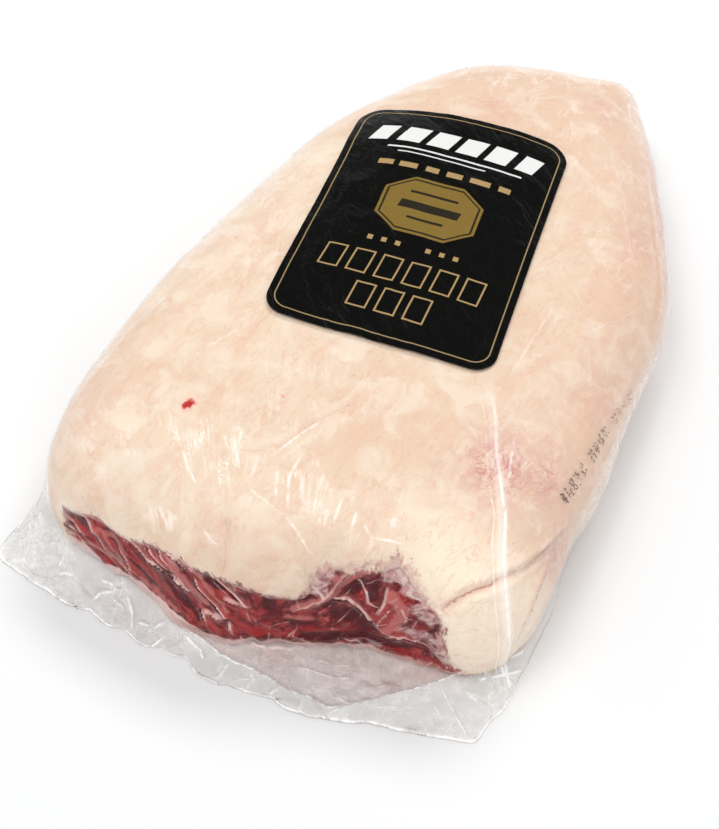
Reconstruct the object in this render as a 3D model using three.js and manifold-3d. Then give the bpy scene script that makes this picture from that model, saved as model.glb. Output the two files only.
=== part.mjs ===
// Picanha in a clear vacuum bag, lying fat side up, with a label on top. Millimetres, +Z up.
// +Y runs from the wide cut end (front) to the narrow end (rear); +X is the right-hand side.
import * as THREE from 'three';
import { mergeVertices } from 'three/addons/utils/BufferGeometryUtils.js';
import Module from 'manifold-3d';

// ---- Cut of meat: plan outline and heights --------------------------------------------------
// Plan outline at the widest height, counter-clockwise from the front right corner.
const MEAT_PLAN = [
  [68, -74], [73, -56], [79, -4], [83, 48], [63, 111], [40, 142], [-9, 136], [-41, 102],
  [-63, 58], [-81, -3], [-87, -52], [-80, -83], [-52, -93], [-16, -98], [24, -87], [55, -86],
];
const THICKNESS = 50;          // crown height over the front and the middle
const REAR_THICKNESS = 46;     // crown height at the narrow end
const REAR_TAPER = [0, 120];   // Y range over which the crown falls
const SIDE_BULGE_Z = 16;       // height of the widest line on the sides and rear
const FRONT_BULGE_Z = 4;       // height of the widest line on the cut face
const SIDE_UNDERCUT = 7;       // how far the sides tuck in under the bulge
const FRONT_UNDERCUT = 1;
const SIDE_ROUND = { across: 4.5, up: 2.2 };     // superellipse exponents of the shoulders
const FRONT_ROUND = { across: 7.0, up: 2.4 };
const FRONT_SECTOR = [35, 60];                   // degrees from -Y where front turns into side

// ---- Fat layer over the lean ----------------------------------------------------------------
const FAT_TOP = 11;            // layer thickness over the lean
const FAT_SIDE = 12;           // layer thickness down the sides
const FAT_LIP = 6;             // level step of the layer behind the cut face
const GAP = 0.3;               // clearance between neighbouring pieces
// Height of the fat's lower edge on the cut face, as [x, height].
const FAT_EDGE = [
  [-90, 21], [-72, 25], [-61, 30], [-50, 29], [-39, 32.5], [-25, 32], [-13, 31.5], [-6, 28.5],
  [1, 27], [5.5, 29], [8.5, 38], [16, 37.5], [23, 39], [29, 42.5], [34, 40], [40, 34],
  [44.5, 30], [47, 20], [50, 9], [53, 4], [57, 0],
];
const LEAN_LEFT_LIMIT = [39, 45];    // degrees from -Y where the lean face ends, left
const LEAN_RIGHT_LIMIT = [31, 37];   // and right

// ---- Free film of the bag around the foot of the meat ---------------------------------------
// Plan outline of the film's outer edge: the ear at the front left, the hem and seal band along
// the front, the flap at the front right, the pinched right side, the tail at the narrow end.
const FILM_PLAN = [
  [-97, -95], [-80, -104], [-52, -109], [-22, -109], [8, -112], [36, -110], [60, -107], [69, -99],
  [75, -82], [76, -62], [78, -40], [82, -4], [87, 48], [81, 80], [66, 113], [52, 146], [34, 149],
  [18, 143], [-10, 138], [-42, 104], [-65, 59], [-83, -3], [-89, -50], [-92, -72],
];
const CLING = 1.4;             // least film standing off the sides, where it hugs the meat
const FILM_EDGE = 3.2;         // height of the crumpled film at its outer edge
const FILM_FOOT = 12;          // height where the film leaves the sides
const FRONT_FOOT = 9;          // and the cut face
const EAR = { at: 226, half: 20, rise: 7 };      // the film stands higher at the ear, degrees
const CRUMPLE = { waves: 23, height: 1.0, reach: 1.0 };

// ---- Label ----------------------------------------------------------------------------------
const LABEL = { x: -0.5, y: 33.5, width: 72.5, side: 97, arch: 5, corner: 7, turn: 0.5 };
const LABEL_GAP = 0.4;
const LABEL_THICK = 0.6;

const ANGLES = 80;             // facets round the meat

// ---- Small helpers --------------------------------------------------------------------------
const wasm = await Module();
wasm.setup();

const clamp01 = (t) => Math.min(1, Math.max(0, t));
const lerp = (a, b, t) => a + (b - a) * t;

function smooth(a, b, x) {
  const t = clamp01((x - a) / (b - a));
  return t * t * (3 - 2 * t);
}

function wrapDegrees(d) {
  return ((d + 180) % 360 + 360) % 360 - 180;
}

// Radius of a closed plan outline as a function of direction.
function planRadius(points) {
  const ring = points.map(([x, y]) => new THREE.Vector3(x, y, 0));
  const curve = new THREE.CatmullRomCurve3(ring, true, 'catmullrom', 0.5);
  const table = curve.getPoints(960).slice(0, -1)
    .map((p) => [Math.atan2(p.y, p.x), Math.hypot(p.x, p.y)])
    .sort((p, q) => p[0] - q[0]);
  const first = table[0];
  const last = table[table.length - 1];
  table.unshift([last[0] - 2 * Math.PI, last[1]]);
  table.push([first[0] + 2 * Math.PI, first[1]]);
  return (angle) => {
    const a = Math.atan2(Math.sin(angle), Math.cos(angle));
    const k = table.findIndex((row) => row[0] > a);
    const [a0, r0] = table[k - 1];
    const [a1, r1] = table[k];
    return lerp(r0, r1, (a - a0) / (a1 - a0));
  };
}

// ---- Form of the meat -----------------------------------------------------------------------
const meatRadius = planRadius(MEAT_PLAN);
const filmRadius = planRadius(FILM_PLAN);

const fromFront = (angle) => wrapDegrees(THREE.MathUtils.radToDeg(angle) + 90);

const frontness = (angle) => 1 - smooth(...FRONT_SECTOR, Math.abs(fromFront(angle)));

function crown(y) {
  return lerp(THICKNESS, REAR_THICKNESS, smooth(...REAR_TAPER, y));
}

function shoulder(angle) {
  const f = frontness(angle);
  return {
    bulge: lerp(SIDE_BULGE_Z, FRONT_BULGE_Z, f),
    undercut: lerp(SIDE_UNDERCUT, FRONT_UNDERCUT, f),
    across: lerp(SIDE_ROUND.across, FRONT_ROUND.across, f),
    up: lerp(SIDE_ROUND.up, FRONT_ROUND.up, f),
  };
}

function topHeight(x, y) {
  const angle = Math.atan2(y, x);
  const s = shoulder(angle);
  const out = Math.min(1, Math.hypot(x, y) / meatRadius(angle));
  return s.bulge + (crown(y) - s.bulge) * Math.pow(1 - Math.pow(out, s.across), 1 / s.up);
}

// One radial section of the meat from the crown's middle down to the base, as [radius, height].
function meatSection(angle, grow) {
  const s = shoulder(angle);
  const reach = meatRadius(angle);
  const rows = [];
  for (const q of [0.28, 0.46, 0.6, 0.7, 0.78, 0.85, 0.92, 1]) {
    const r = reach * Math.pow(Math.sin(q * Math.PI / 2), 2 / s.across);
    const peak = crown(r * Math.sin(angle));
    const z = s.bulge + (peak - s.bulge) * Math.pow(Math.cos(q * Math.PI / 2), 2 / s.up);
    rows.push([r + grow * Math.sin(q * Math.PI / 2), z + grow * Math.cos(q * Math.PI / 2)]);
  }
  rows.push([reach - s.undercut * 0.35 + grow, s.bulge * 0.4]);
  rows.push([reach - s.undercut + grow, 0]);
  return rows;
}

// Top of the lean: under the fat layer, and stepping down to the fat's edge at the cut face.
const edgeCurve = new THREE.SplineCurve(FAT_EDGE.map(([x, z]) => new THREE.Vector2(x, z)));
const edgeTable = edgeCurve.getPoints(200);

function fatEdgeHeight(x) {
  const k = edgeTable.findIndex((p) => p.x > x);
  if (k <= 0) {
    return k === 0 ? edgeTable[0].y : edgeTable[edgeTable.length - 1].y;
  }
  const a = edgeTable[k - 1];
  const b = edgeTable[k];
  return lerp(a.y, b.y, (x - a.x) / (b.x - a.x));
}

function leanShown(angle) {
  const d = fromFront(angle);
  return d < 0 ? 1 - smooth(...LEAN_LEFT_LIMIT, -d) : 1 - smooth(...LEAN_RIGHT_LIMIT, d);
}

function leanSection(angle, grow) {
  const shown = leanShown(angle);
  const reach = meatRadius(angle);
  const wall = lerp(reach - FAT_SIDE, reach + 5, shown);
  const hidden = clamp01((reach - 1 - wall) / 6);
  const rows = [];
  for (const q of [0.25, 0.5, 0.68, 0.8, 0.88, 0.94, 1]) {
    const r = wall * q;
    const x = r * Math.cos(angle);
    const y = r * Math.sin(angle);
    const behind = Math.max(0, reach - r - FAT_LIP);
    const edge = Math.max(...[-grow, 0, grow].map((dx) => fatEdgeHeight(x + dx)));
    const step = edge + behind + 60 * hidden;
    const roof = lerp(topHeight(x, y), crown(y), shown) - FAT_TOP;
    rows.push([r + grow, Math.min(step, roof) + grow]);
  }
  rows.push([wall + grow, -grow]);
  return rows;
}

// ---- Closed bodies from radial sections -----------------------------------------------------
// sections[i] holds the same number of [radius, height] rows, listed from the top to the base.
function radialBody(angles, sections, topZ, baseZ) {
  const rows = sections[0].length;
  const position = [0, 0, topZ];
  const index = [];
  angles.forEach((angle, i) => {
    for (const [r, z] of sections[i]) {
      position.push(r * Math.cos(angle), r * Math.sin(angle), z);
    }
  });
  position.push(0, 0, baseZ);
  const base = position.length / 3 - 1;
  const at = (i, k) => 1 + (i % angles.length) * rows + k;
  for (let i = 0; i < angles.length; i++) {
    index.push(0, at(i, 0), at(i + 1, 0));
    for (let k = 0; k < rows - 1; k++) {
      index.push(at(i, k), at(i, k + 1), at(i + 1, k + 1));
      index.push(at(i, k), at(i + 1, k + 1), at(i + 1, k));
    }
    index.push(base, at(i + 1, rows - 1), at(i, rows - 1));
  }
  const geometry = new THREE.BufferGeometry();
  geometry.setAttribute('position', new THREE.Float32BufferAttribute(position, 3));
  geometry.setIndex(index);
  return geometry;
}

function ringAngles(count) {
  return Array.from({ length: count }, (_, i) => (i / count) * 2 * Math.PI);
}

function meatBody(grow) {
  const angles = ringAngles(ANGLES);
  return radialBody(angles, angles.map((a) => meatSection(a, grow)), crown(0) + grow, 0);
}

// The lean's outside steps, so its directions are packed closer across the cut face.
function leanBody(grow) {
  const angles = ringAngles(ANGLES * 4)
    .filter((a, i) => i % 4 === 0 || Math.abs(fromFront(a)) < 48);
  return radialBody(angles, angles.map((a) => leanSection(a, grow)), crown(0) - FAT_TOP + grow, -grow);
}

function filmSection(angle) {
  const inner = meatRadius(angle);
  const reach = Math.max(CLING, filmRadius(angle) - inner);
  const off = Math.abs(wrapDegrees(THREE.MathUtils.radToDeg(angle) - EAR.at));
  const ear = EAR.rise * smooth(EAR.half, 0, off);
  const foot = lerp(FILM_FOOT, FRONT_FOOT, frontness(angle)) + ear;
  const free = smooth(3, 9, reach);
  const wave = Math.sin(CRUMPLE.waves * angle) + 0.6 * Math.sin(CRUMPLE.waves * 1.7 * angle + 1);
  const edge = inner + reach + CRUMPLE.reach * wave * free;
  const lift = CRUMPLE.height * wave * free;
  return [
    [inner - 9, foot + 3],
    [inner + 0.6, foot],
    [(inner + edge) / 2, lerp(foot, FILM_EDGE, 0.62) + lift],
    [edge - 0.4, FILM_EDGE + 0.4 * lift],
    [edge, FILM_EDGE * 0.4],
    [edge - 0.8, 0],
  ];
}

function filmBody() {
  const angles = ringAngles(ANGLES * 1.8);
  return radialBody(angles, angles.map(filmSection), FILM_FOOT + 6, 0);
}

// ---- Joining and cutting --------------------------------------------------------------------
function toManifold(geometry) {
  const clean = geometry.clone();
  clean.deleteAttribute('normal');
  clean.deleteAttribute('uv');
  const merged = mergeVertices(clean, 1e-4);
  return new wasm.Manifold(new wasm.Mesh({
    numProp: 3,
    vertProperties: new Float32Array(merged.attributes.position.array),
    triVerts: new Uint32Array(merged.index.array),
  }));
}

function toGeometry(manifold) {
  const mesh = manifold.getMesh();
  const geometry = new THREE.BufferGeometry();
  geometry.setAttribute('position', new THREE.Float32BufferAttribute(mesh.vertProperties, 3));
  geometry.setIndex(Array.from(mesh.triVerts));
  const flat = geometry.toNonIndexed();
  flat.computeVertexNormals();
  return flat;
}

// ---- Label plate, bent over the crown -------------------------------------------------------
function labelOutline() {
  const { width: w, side: h, arch, corner: c } = LABEL;
  const left = -w / 2;
  const right = w / 2;
  const bottom = -h / 2;
  const top = h / 2;
  const shape = new THREE.Shape();
  shape.moveTo(left + c, bottom);
  shape.lineTo(right - c, bottom);
  shape.quadraticCurveTo(right, bottom, right, bottom + c);
  shape.lineTo(right, top - c);
  shape.quadraticCurveTo(right, top, right - c, top + arch * 0.35);
  shape.quadraticCurveTo(0, top + arch * 1.7, left + c, top + arch * 0.35);
  shape.quadraticCurveTo(left, top, left, top - c);
  shape.lineTo(left, bottom + c);
  shape.quadraticCurveTo(left, bottom, left + c, bottom);
  return shape.getSpacedPoints(48).slice(0, -1);
}

function labelPlate() {
  const outline = labelOutline();
  const turn = THREE.MathUtils.degToRad(LABEL.turn);
  const rings = [0.2, 0.4, 0.6, 0.8, 1];
  const position = [];
  const index = [];
  const place = (u, v, lift) => {
    const x = LABEL.x + u * Math.cos(turn) - v * Math.sin(turn);
    const y = LABEL.y + u * Math.sin(turn) + v * Math.cos(turn);
    position.push(x, y, topHeight(x, y) + lift);
  };
  for (const lift of [LABEL_GAP + LABEL_THICK, LABEL_GAP]) {
    place(0, 0, lift);
    rings.forEach((s) => outline.forEach((p) => place(p.x * s, p.y * s, lift)));
  }
  const count = outline.length;
  const layer = 1 + count * rings.length;
  const at = (side, ring, i) => side * layer + 1 + ring * count + (i % count);
  const quad = (a, b, c, d, flip) => {
    index.push(...(flip ? [a, c, b, a, d, c] : [a, b, c, a, c, d]));
  };
  for (const side of [0, 1]) {
    for (let i = 0; i < count; i++) {
      const tip = [side * layer, at(side, 0, i), at(side, 0, i + 1)];
      index.push(...(side ? [tip[0], tip[2], tip[1]] : tip));
      for (let k = 0; k < rings.length - 1; k++) {
        quad(at(side, k, i), at(side, k + 1, i), at(side, k + 1, i + 1), at(side, k, i + 1), side);
      }
    }
  }
  const rim = rings.length - 1;
  for (let i = 0; i < count; i++) {
    quad(at(0, rim, i), at(1, rim, i), at(1, rim, i + 1), at(0, rim, i + 1), false);
  }
  const geometry = new THREE.BufferGeometry();
  geometry.setAttribute('position', new THREE.Float32BufferAttribute(position, 3));
  geometry.setIndex(index);
  const flat = geometry.toNonIndexed();
  flat.computeVertexNormals();
  return flat;
}

// ---- Pieces ---------------------------------------------------------------------------------
function piece(name, geometry, color, roughness, extra = {}) {
  const material = new THREE.MeshStandardMaterial({ color, roughness, metalness: 0, ...extra });
  const mesh = new THREE.Mesh(geometry, material);
  mesh.name = name;
  return mesh;
}

const meat = toManifold(meatBody(0));
const lean = meat.intersect(toManifold(leanBody(0)));
const fat = meat.subtract(toManifold(leanBody(GAP)));
const film = toManifold(filmBody()).subtract(toManifold(meatBody(GAP)));

const pack = new THREE.Group();
pack.name = 'picanha_pack';
pack.add(piece('fat_cap', toGeometry(fat), 0xf0d9c2, 0.42));
pack.add(piece('lean_meat', toGeometry(lean), 0x9c4a48, 0.4));
pack.add(piece('bag', toGeometry(film), 0xe9e4e1, 0.25, { transparent: true, opacity: 0.45 }));
pack.add(piece('label', labelPlate(), 0x222020, 0.3));

// The plan is centred on its bounding box, with the base at zero height.
const box = new THREE.Box3().setFromObject(pack);
pack.position.set(-(box.min.x + box.max.x) / 2, -(box.min.y + box.max.y) / 2, 0);
pack.updateMatrixWorld(true);

export default pack;
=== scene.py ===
"""Looks of the vacuum packed picanha: fat, lean, clear film, label and a few printed ink dots.

Lengths in the shape functions are millimetres in the plan's own axes; place() turns them into metres
in the shared frame. +Y runs from the wide cut end to the narrow end.
"""

import functools
import math

import bmesh
import bpy
import numpy as np
from mathutils import Matrix, Vector


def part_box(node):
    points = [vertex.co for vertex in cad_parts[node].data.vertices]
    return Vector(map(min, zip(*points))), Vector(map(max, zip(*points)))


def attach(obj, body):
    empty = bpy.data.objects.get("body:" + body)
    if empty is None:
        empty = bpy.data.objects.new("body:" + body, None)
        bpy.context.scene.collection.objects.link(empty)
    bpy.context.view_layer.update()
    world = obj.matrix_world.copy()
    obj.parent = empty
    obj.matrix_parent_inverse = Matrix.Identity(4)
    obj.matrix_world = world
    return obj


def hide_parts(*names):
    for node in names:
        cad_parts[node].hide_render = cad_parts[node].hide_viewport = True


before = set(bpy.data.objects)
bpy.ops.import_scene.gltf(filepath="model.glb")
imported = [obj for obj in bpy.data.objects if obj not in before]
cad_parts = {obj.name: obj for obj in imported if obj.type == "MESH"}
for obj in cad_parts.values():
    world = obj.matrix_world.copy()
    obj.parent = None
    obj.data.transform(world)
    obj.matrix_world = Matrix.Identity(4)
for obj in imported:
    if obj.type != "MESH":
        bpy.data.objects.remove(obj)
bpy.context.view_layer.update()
MM = 0.001

# ---- Sizes of the cut, as in the construction ------------------------------------------------
MEAT_PLAN = [
    (68, -74), (73, -56), (79, -4), (81.5, 48), (67, 101), (53, 133), (46, 143), (34, 143), (-9, 136),
    (-41, 102), (-63, 58), (-81, -3), (-87, -52), (-80, -83), (-52, -93), (-16, -98), (24, -87), (55, -86),
]
FILM_PLAN = [
    (-95, -97), (-88, -102), (-75, -104.5), (-56, -106), (-45, -109.5), (-28, -109.5), (-18, -113),
    (3, -112.5), (14, -113), (31, -110), (50, -106.5), (62, -104.5), (65, -98), (70, -86), (73, -61),
    (75, -40), (81, -4), (85.5, 48), (79, 80), (63, 118), (50, 148), (34, 149), (18, 143), (-10, 138),
    (-42, 104), (-65, 59), (-83, -3), (-89, -50), (-91, -72),
]
THICKNESS, REAR_THICKNESS = 50.0, 46.0
SIDE_BULGE_Z, FRONT_BULGE_Z = 16.0, 4.0
SIDE_UNDERCUT, FRONT_UNDERCUT = 7.0, 1.0
# The foot of the cut face flares out: by how much, and the degrees over which it rises and falls.
FLARES = [(3.5, (-27, -17), (-4, -11)), (1.5, (-12, -5), (32, 26))]
FLARE_TOP = 22.0
FAT_EDGE = [(-90, 21), (-72, 25), (-61, 30), (-50, 29), (-39, 32.5), (-25, 32), (-13, 31.5), (-6, 28.5),
            (1, 27), (5.5, 29), (8.5, 38), (16, 37.5), (23, 39), (29, 42.5), (34, 40), (40, 34),
            (44.5, 30), (47, 20), (50, 9), (53, 4), (57, 0)]
LEAN_LEFT, LEAN_RIGHT = 39.5, 34.0     # degrees from -Y where the lean face ends
LABEL = {"x": -0.5, "y": 33.5, "width": 72.5, "side": 97.0, "arch": 5.0, "corner": 7.0, "turn": 0.5}
FAR_MM = 9.0        # stored where no line is near
FILM_GAP = 0.45     # how far the film lies above the meat
FAT_OVERLAP = 5.5   # how far the fat's mesh runs on under the lean, below its edge
DEEP_FAT, DEEP_LEAN = 40.0, -8.0       # distances from the fat's edge where it is out of sight


# ---- Numbers ---------------------------------------------------------------------------------
def smooth(a, b, x):
    t = np.clip((np.asarray(x, float) - a) / (b - a), 0, 1)
    return t * t * (3 - 2 * t)


def mix(a, b, t):
    return a + (b - a) * t


def bell(x, centre, width):
    return np.exp(-((np.asarray(x, float) - centre) / width) ** 2)


def size_of(v):
    return np.linalg.norm(v, axis=-1)


def ends(along, share=0.15):
    """1 along a line, fading out over a share of it at both ends."""
    return smooth(0, share, along) * smooth(1, 1 - share, along)


def hashed(ix, iy, iz, seed):
    h = (ix * 374761393 + iy * 668265263 + iz * 1442695041 + seed * 974634777) & 0xFFFFFFFF
    h = ((h ^ (h >> 13)) * 1274126177) & 0xFFFFFFFF
    return ((h ^ (h >> 16)) & 0xFFFF) / 32767.5 - 1


def noise(points, size, seed):
    """Smooth noise from -1 to 1 over points in mm, with features of the given size."""
    p = np.asarray(points, float) / size
    cell = np.floor(p).astype(np.int64)
    f = p - cell
    f = f * f * (3 - 2 * f)
    total = np.zeros(p.shape[:-1])
    for corner in np.ndindex(2, 2, 2):
        weight = np.prod(np.where(corner, f, 1 - f), axis=-1)
        total += weight * hashed(*(cell[..., i] + corner[i] for i in range(3)), seed)
    return total


def crumple(p, size, seed, sharp=26.0):
    """Flat facets with sharp creases between them: their height, and how near a crease is."""
    q = np.asarray(p, float) / size
    cell = np.floor(q).astype(np.int64)
    total, weights = np.zeros(q.shape[:-1]), np.zeros(q.shape[:-1])
    first, second = np.full(q.shape[:-1], FAR_MM), np.full(q.shape[:-1], FAR_MM)
    for step in np.ndindex(3, 3, 3):
        c = cell + np.array(step[::-1]) - 1
        r = [hashed(c[..., 0], c[..., 1], c[..., 2], seed + j) for j in range(7)]
        away = q - (c + 0.5 + 0.45 * np.stack(r[:3], axis=-1))
        d = size_of(away)
        w = np.exp(-sharp * d)
        tilt = away[..., 0] * r[3] + away[..., 1] * r[4] + away[..., 2] * r[5]
        total += w * (0.5 * r[6] + 1.3 * tilt)
        weights += w
        second = np.where(d < first, first, np.minimum(second, d))
        first = np.minimum(first, d)
    return total / weights, np.exp(-((second - first) / 0.10) ** 2)


def smooth_curve(points, count=400, closed=False):
    """Points along a Catmull-Rom curve."""
    p = np.array(points, float)
    last = len(p) if closed else len(p) - 1.001
    if closed:
        p = np.vstack([p[-1], p, p[:2]])
    else:
        p = np.vstack([2 * p[0] - p[1], p, 2 * p[-1] - p[-2]])
    t = 1 + np.linspace(0, last, count, endpoint=not closed)
    i = t.astype(int)
    u = (t - i)[:, None]
    p0, p1, p2, p3 = (p[i + k] for k in (-1, 0, 1, 2))
    return 0.5 * (2 * p1 + (p2 - p0) * u + (2 * p0 - 5 * p1 + 4 * p2 - p3) * u ** 2
                  + (3 * p1 - p0 - 3 * p2 + p3) * u ** 3)


def plan_radius(outline):
    """Radius of a closed plan outline as a function of direction."""
    angle, radius = np.arctan2(outline[:, 1], outline[:, 0]), np.hypot(outline[:, 0], outline[:, 1])
    order = np.argsort(angle)
    return lambda a: np.interp(a, angle[order], radius[order], period=2 * math.pi)


MEAT_OUTLINE = smooth_curve(MEAT_PLAN, 1920, closed=True)
meat_radius = plan_radius(MEAT_OUTLINE)
film_radius = plan_radius(smooth_curve(FILM_PLAN, 1920, closed=True))


def frame_shift():
    """How far the plan's origin lies from the frame's, in mm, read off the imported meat."""
    boxes = [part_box("fat_cap"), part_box("lean_meat")]
    middle = [(min(b[0][i] for b in boxes) + max(b[1][i] for b in boxes)) / 2 / MM for i in (0, 1)]
    plan = (MEAT_OUTLINE.min(0) + MEAT_OUTLINE.max(0)) / 2
    return np.array([middle[0] - plan[0], middle[1] - plan[1], 0.0])


SHIFT = frame_shift()


def place(points):
    return (np.asarray(points, float) + SHIFT) * MM


# ---- Distances to lines ----------------------------------------------------------------------
def turn_to(p, a, d):
    """Above zero where p lies left of the line through a along d, seen from above or outside."""
    if p.shape[-1] == 2:
        return d[0] * (p[..., 1] - a[1]) - d[1] * (p[..., 0] - a[0])
    flat = p * [1, 1, 0]
    outward = flat / np.maximum(size_of(flat)[..., None], 1) + [0, 0, 1]
    return (np.cross(d, p - a) * outward).sum(-1)


def near_line(p, line, signed=False):
    """Distance to a polyline, above zero to its left if signed, and the share of the way along it."""
    line = np.array(line, float)
    best, where = np.full(p.shape[:-1], np.inf), np.zeros(p.shape[:-1])
    side = np.ones(p.shape[:-1])
    for k in range(len(line) - 1):
        a, d = line[k], line[k + 1] - line[k]
        t = np.clip(((p - a) @ d) / (d @ d), 0, 1)
        gap = size_of(p - (a + t[..., None] * d))
        closer = gap < best
        best = np.where(closer, gap, best)
        where = np.where(closer, (k + t) / (len(line) - 1), where)
        if signed:
            side = np.where(closer, np.sign(turn_to(p, a, d)), side)
    return best * side, where


def nearest_line(p, lines, fade=0.2):
    """Signed distance to the nearest of some lines, how strongly it shows, and the lead over the next."""
    gap, second = np.full(p.shape[:-1], FAR_MM), np.full(p.shape[:-1], FAR_MM)
    shown = np.zeros(p.shape[:-1])
    for line, power in lines:
        off, along = near_line(p, line, signed=True)
        closer = np.abs(off) < np.abs(gap)
        second = np.where(closer, np.abs(gap), np.minimum(second, np.abs(off)))
        gap = np.where(closer, off, gap)
        shown = np.where(closer, power * ends(along, fade), shown)
    return gap, shown, second - np.abs(gap)


def line_field(p, lines, near, far):
    """As nearest_line, fading from near to far, so that no line shows half way between two."""
    gap, shown, _ = nearest_line(p, lines)
    return gap, shown * smooth(far, near, np.abs(gap))


# ---- Form of the meat ------------------------------------------------------------------------
def from_front(angle):
    """Degrees from the cut end's direction, negative to the left."""
    return (np.degrees(angle) + 90 + 180) % 360 - 180


def direction(p):
    return np.arctan2(p[..., 1], p[..., 0])


def frontness(angle):
    return 1 - smooth(35, 60, np.abs(from_front(angle)))


def crown(y):
    return mix(THICKNESS, REAR_THICKNESS, smooth(0, 120, y))


def shoulder(angle):
    """Height and undercut of the widest part, and how square the section is across and upward."""
    f = frontness(angle)
    return (mix(SIDE_BULGE_Z, FRONT_BULGE_Z, f), mix(SIDE_UNDERCUT, FRONT_UNDERCUT, f),
            mix(4.5, 7.0, f), mix(2.2, 2.4, f))


def flare(angle, z):
    """How far the cut face flares out toward its base."""
    off = from_front(angle)
    total = sum(out * smooth(*rise, off) * smooth(*fall, off) for out, rise, fall in FLARES)
    return total * smooth(FLARE_TOP, 3, z)


def top_height(x, y):
    angle = np.arctan2(y, x)
    bulge, _, across, up = shoulder(angle)
    out = np.clip(np.hypot(x, y) / meat_radius(angle), 0, 1)
    return bulge + (crown(y) - bulge) * (1 - out ** across) ** (1 / up)


def directions(count, front_bias):
    """Directions round the meat, closer together at the cut end."""
    a = np.linspace(-math.pi, math.pi, 4001)
    weight = meat_radius(a) * (1 + front_bias * (1 - smooth(50, 75, np.abs(from_front(a)))))
    total = np.concatenate([[0], np.cumsum((weight[1:] + weight[:-1]) / 2)])
    return np.interp(np.linspace(0, total[-1], count, endpoint=False), total, a)


def section(angle):
    """Radial sections from the crown down to the base, densely sampled: radius and height."""
    bulge, undercut, across, up = (v[:, None] for v in shoulder(angle))
    reach = meat_radius(angle)[:, None]
    q = (np.linspace(0, 1, 320) ** 2.5)[None, :] * math.pi / 2
    r = reach * np.sin(q) ** (2 / across)
    z = bulge + (crown(r * np.sin(angle)[:, None]) - bulge) * np.cos(q) ** (2 / up)
    t = np.linspace(0, 1, 40)[None, 1:] * math.pi / 2
    r = np.hstack([r, reach - undercut * (1 - np.cos(t))])
    z = np.hstack([z, bulge * (1 - np.sin(t))])
    return r + flare(angle[:, None], z), z


def skin(angle, share, foot=None):
    """The meat's outer surface down to its base or a foot height: one row of points per direction."""
    r, z = section(angle)
    step = np.hypot(np.diff(r, axis=1), np.diff(z, axis=1))
    length = np.hstack([np.zeros((len(r), 1)), np.cumsum(step, axis=1)])
    p = np.empty((len(angle), len(share), 3))
    for i, a in enumerate(angle):
        end = length[i, -1] if foot is None else np.interp(-foot[i], -z[i], length[i])
        reach = np.interp(share * end, length[i], r[i])
        height = np.interp(share * end, length[i], z[i])
        p[i] = np.stack([reach * math.cos(a), reach * math.sin(a), height], axis=-1)
    return p


def grid_normals(p):
    """Outward normals of a grid that is closed round its first axis."""
    around = np.roll(p, -1, axis=0) - np.roll(p, 1, axis=0)
    n = np.cross(np.gradient(p, axis=1), around)
    return n / np.maximum(size_of(n)[..., None], 1e-9)


def edge_distance(p):
    """Distance in mm from the fat's lower edge: positive on fat, negative on lean."""
    x, y, z = p[..., 0], p[..., 1], p[..., 2]
    off = from_front(np.arctan2(y, x))
    beside = np.maximum(-off - LEAN_LEFT, off - LEAN_RIGHT) * np.radians(1) * np.hypot(x, y)
    curve = smooth_curve(FAT_EDGE)
    gap, _ = near_line(p[..., [0, 2]], smooth_curve(FAT_EDGE, 60))
    above = np.where(z > np.interp(x, curve[:, 0], curve[:, 1]), gap, -gap)
    behind = smooth(-72, -40, y) * (y + 72)
    return np.maximum(above, beside) + behind


# Creases pressed into the fat: a line of points, depth, half width and how strongly it is coloured with
# painted shade.
CREASES = [
    ([(43, -82, 32), (45, -81, 36), (49, -77, 39), (53, -74, 40), (57, -70, 40), (61, -66, 40),
      (64, -61, 39), (67, -55, 36), (69, -48, 34)], 1.6, 1.0, 1.0),
    ([(69, -51, 35), (68.5, -60, 32), (68, -66, 30), (67, -71, 25), (66, -76, 16)], 1.6, 0.8, 2.2),
    ([(-20, -80, 45), (-18, -86, 42), (-17, -90, 37), (-17, -93, 31)], 1.0, 1.3, 0.3),
    ([(-14, -60, 49), (-11, -54, 50), (-6, -46, 50), (0, -39, 50), (3, -36, 50)], 0.5, 0.8, 0.35),
    ([(-18, -34, 50), (-17.5, -46, 50)], 0.2, 1.0, 0.35),
]
# Fat folded under itself at the front right corner: the surface steps down below these lines.
FOLDS = [
    ([(71, -46, 33), (69, -48, 34), (66, -55, 37), (63, -62, 39), (58, -68, 40)], 1.6, 9.0),
    ([(69, -53, 34), (68.5, -60, 32), (68, -66, 30), (67, -71, 25), (66, -75, 18)], 2.2, 5.0),
]
# Dark slits in the right flank, painted shade of narrow gaps in the lean's dark red, with how strongly they
# show.
SLITS = [
    ([(76, -45.5, 21), (75.5, -47.5, 12)], 0.8),
]

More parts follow.
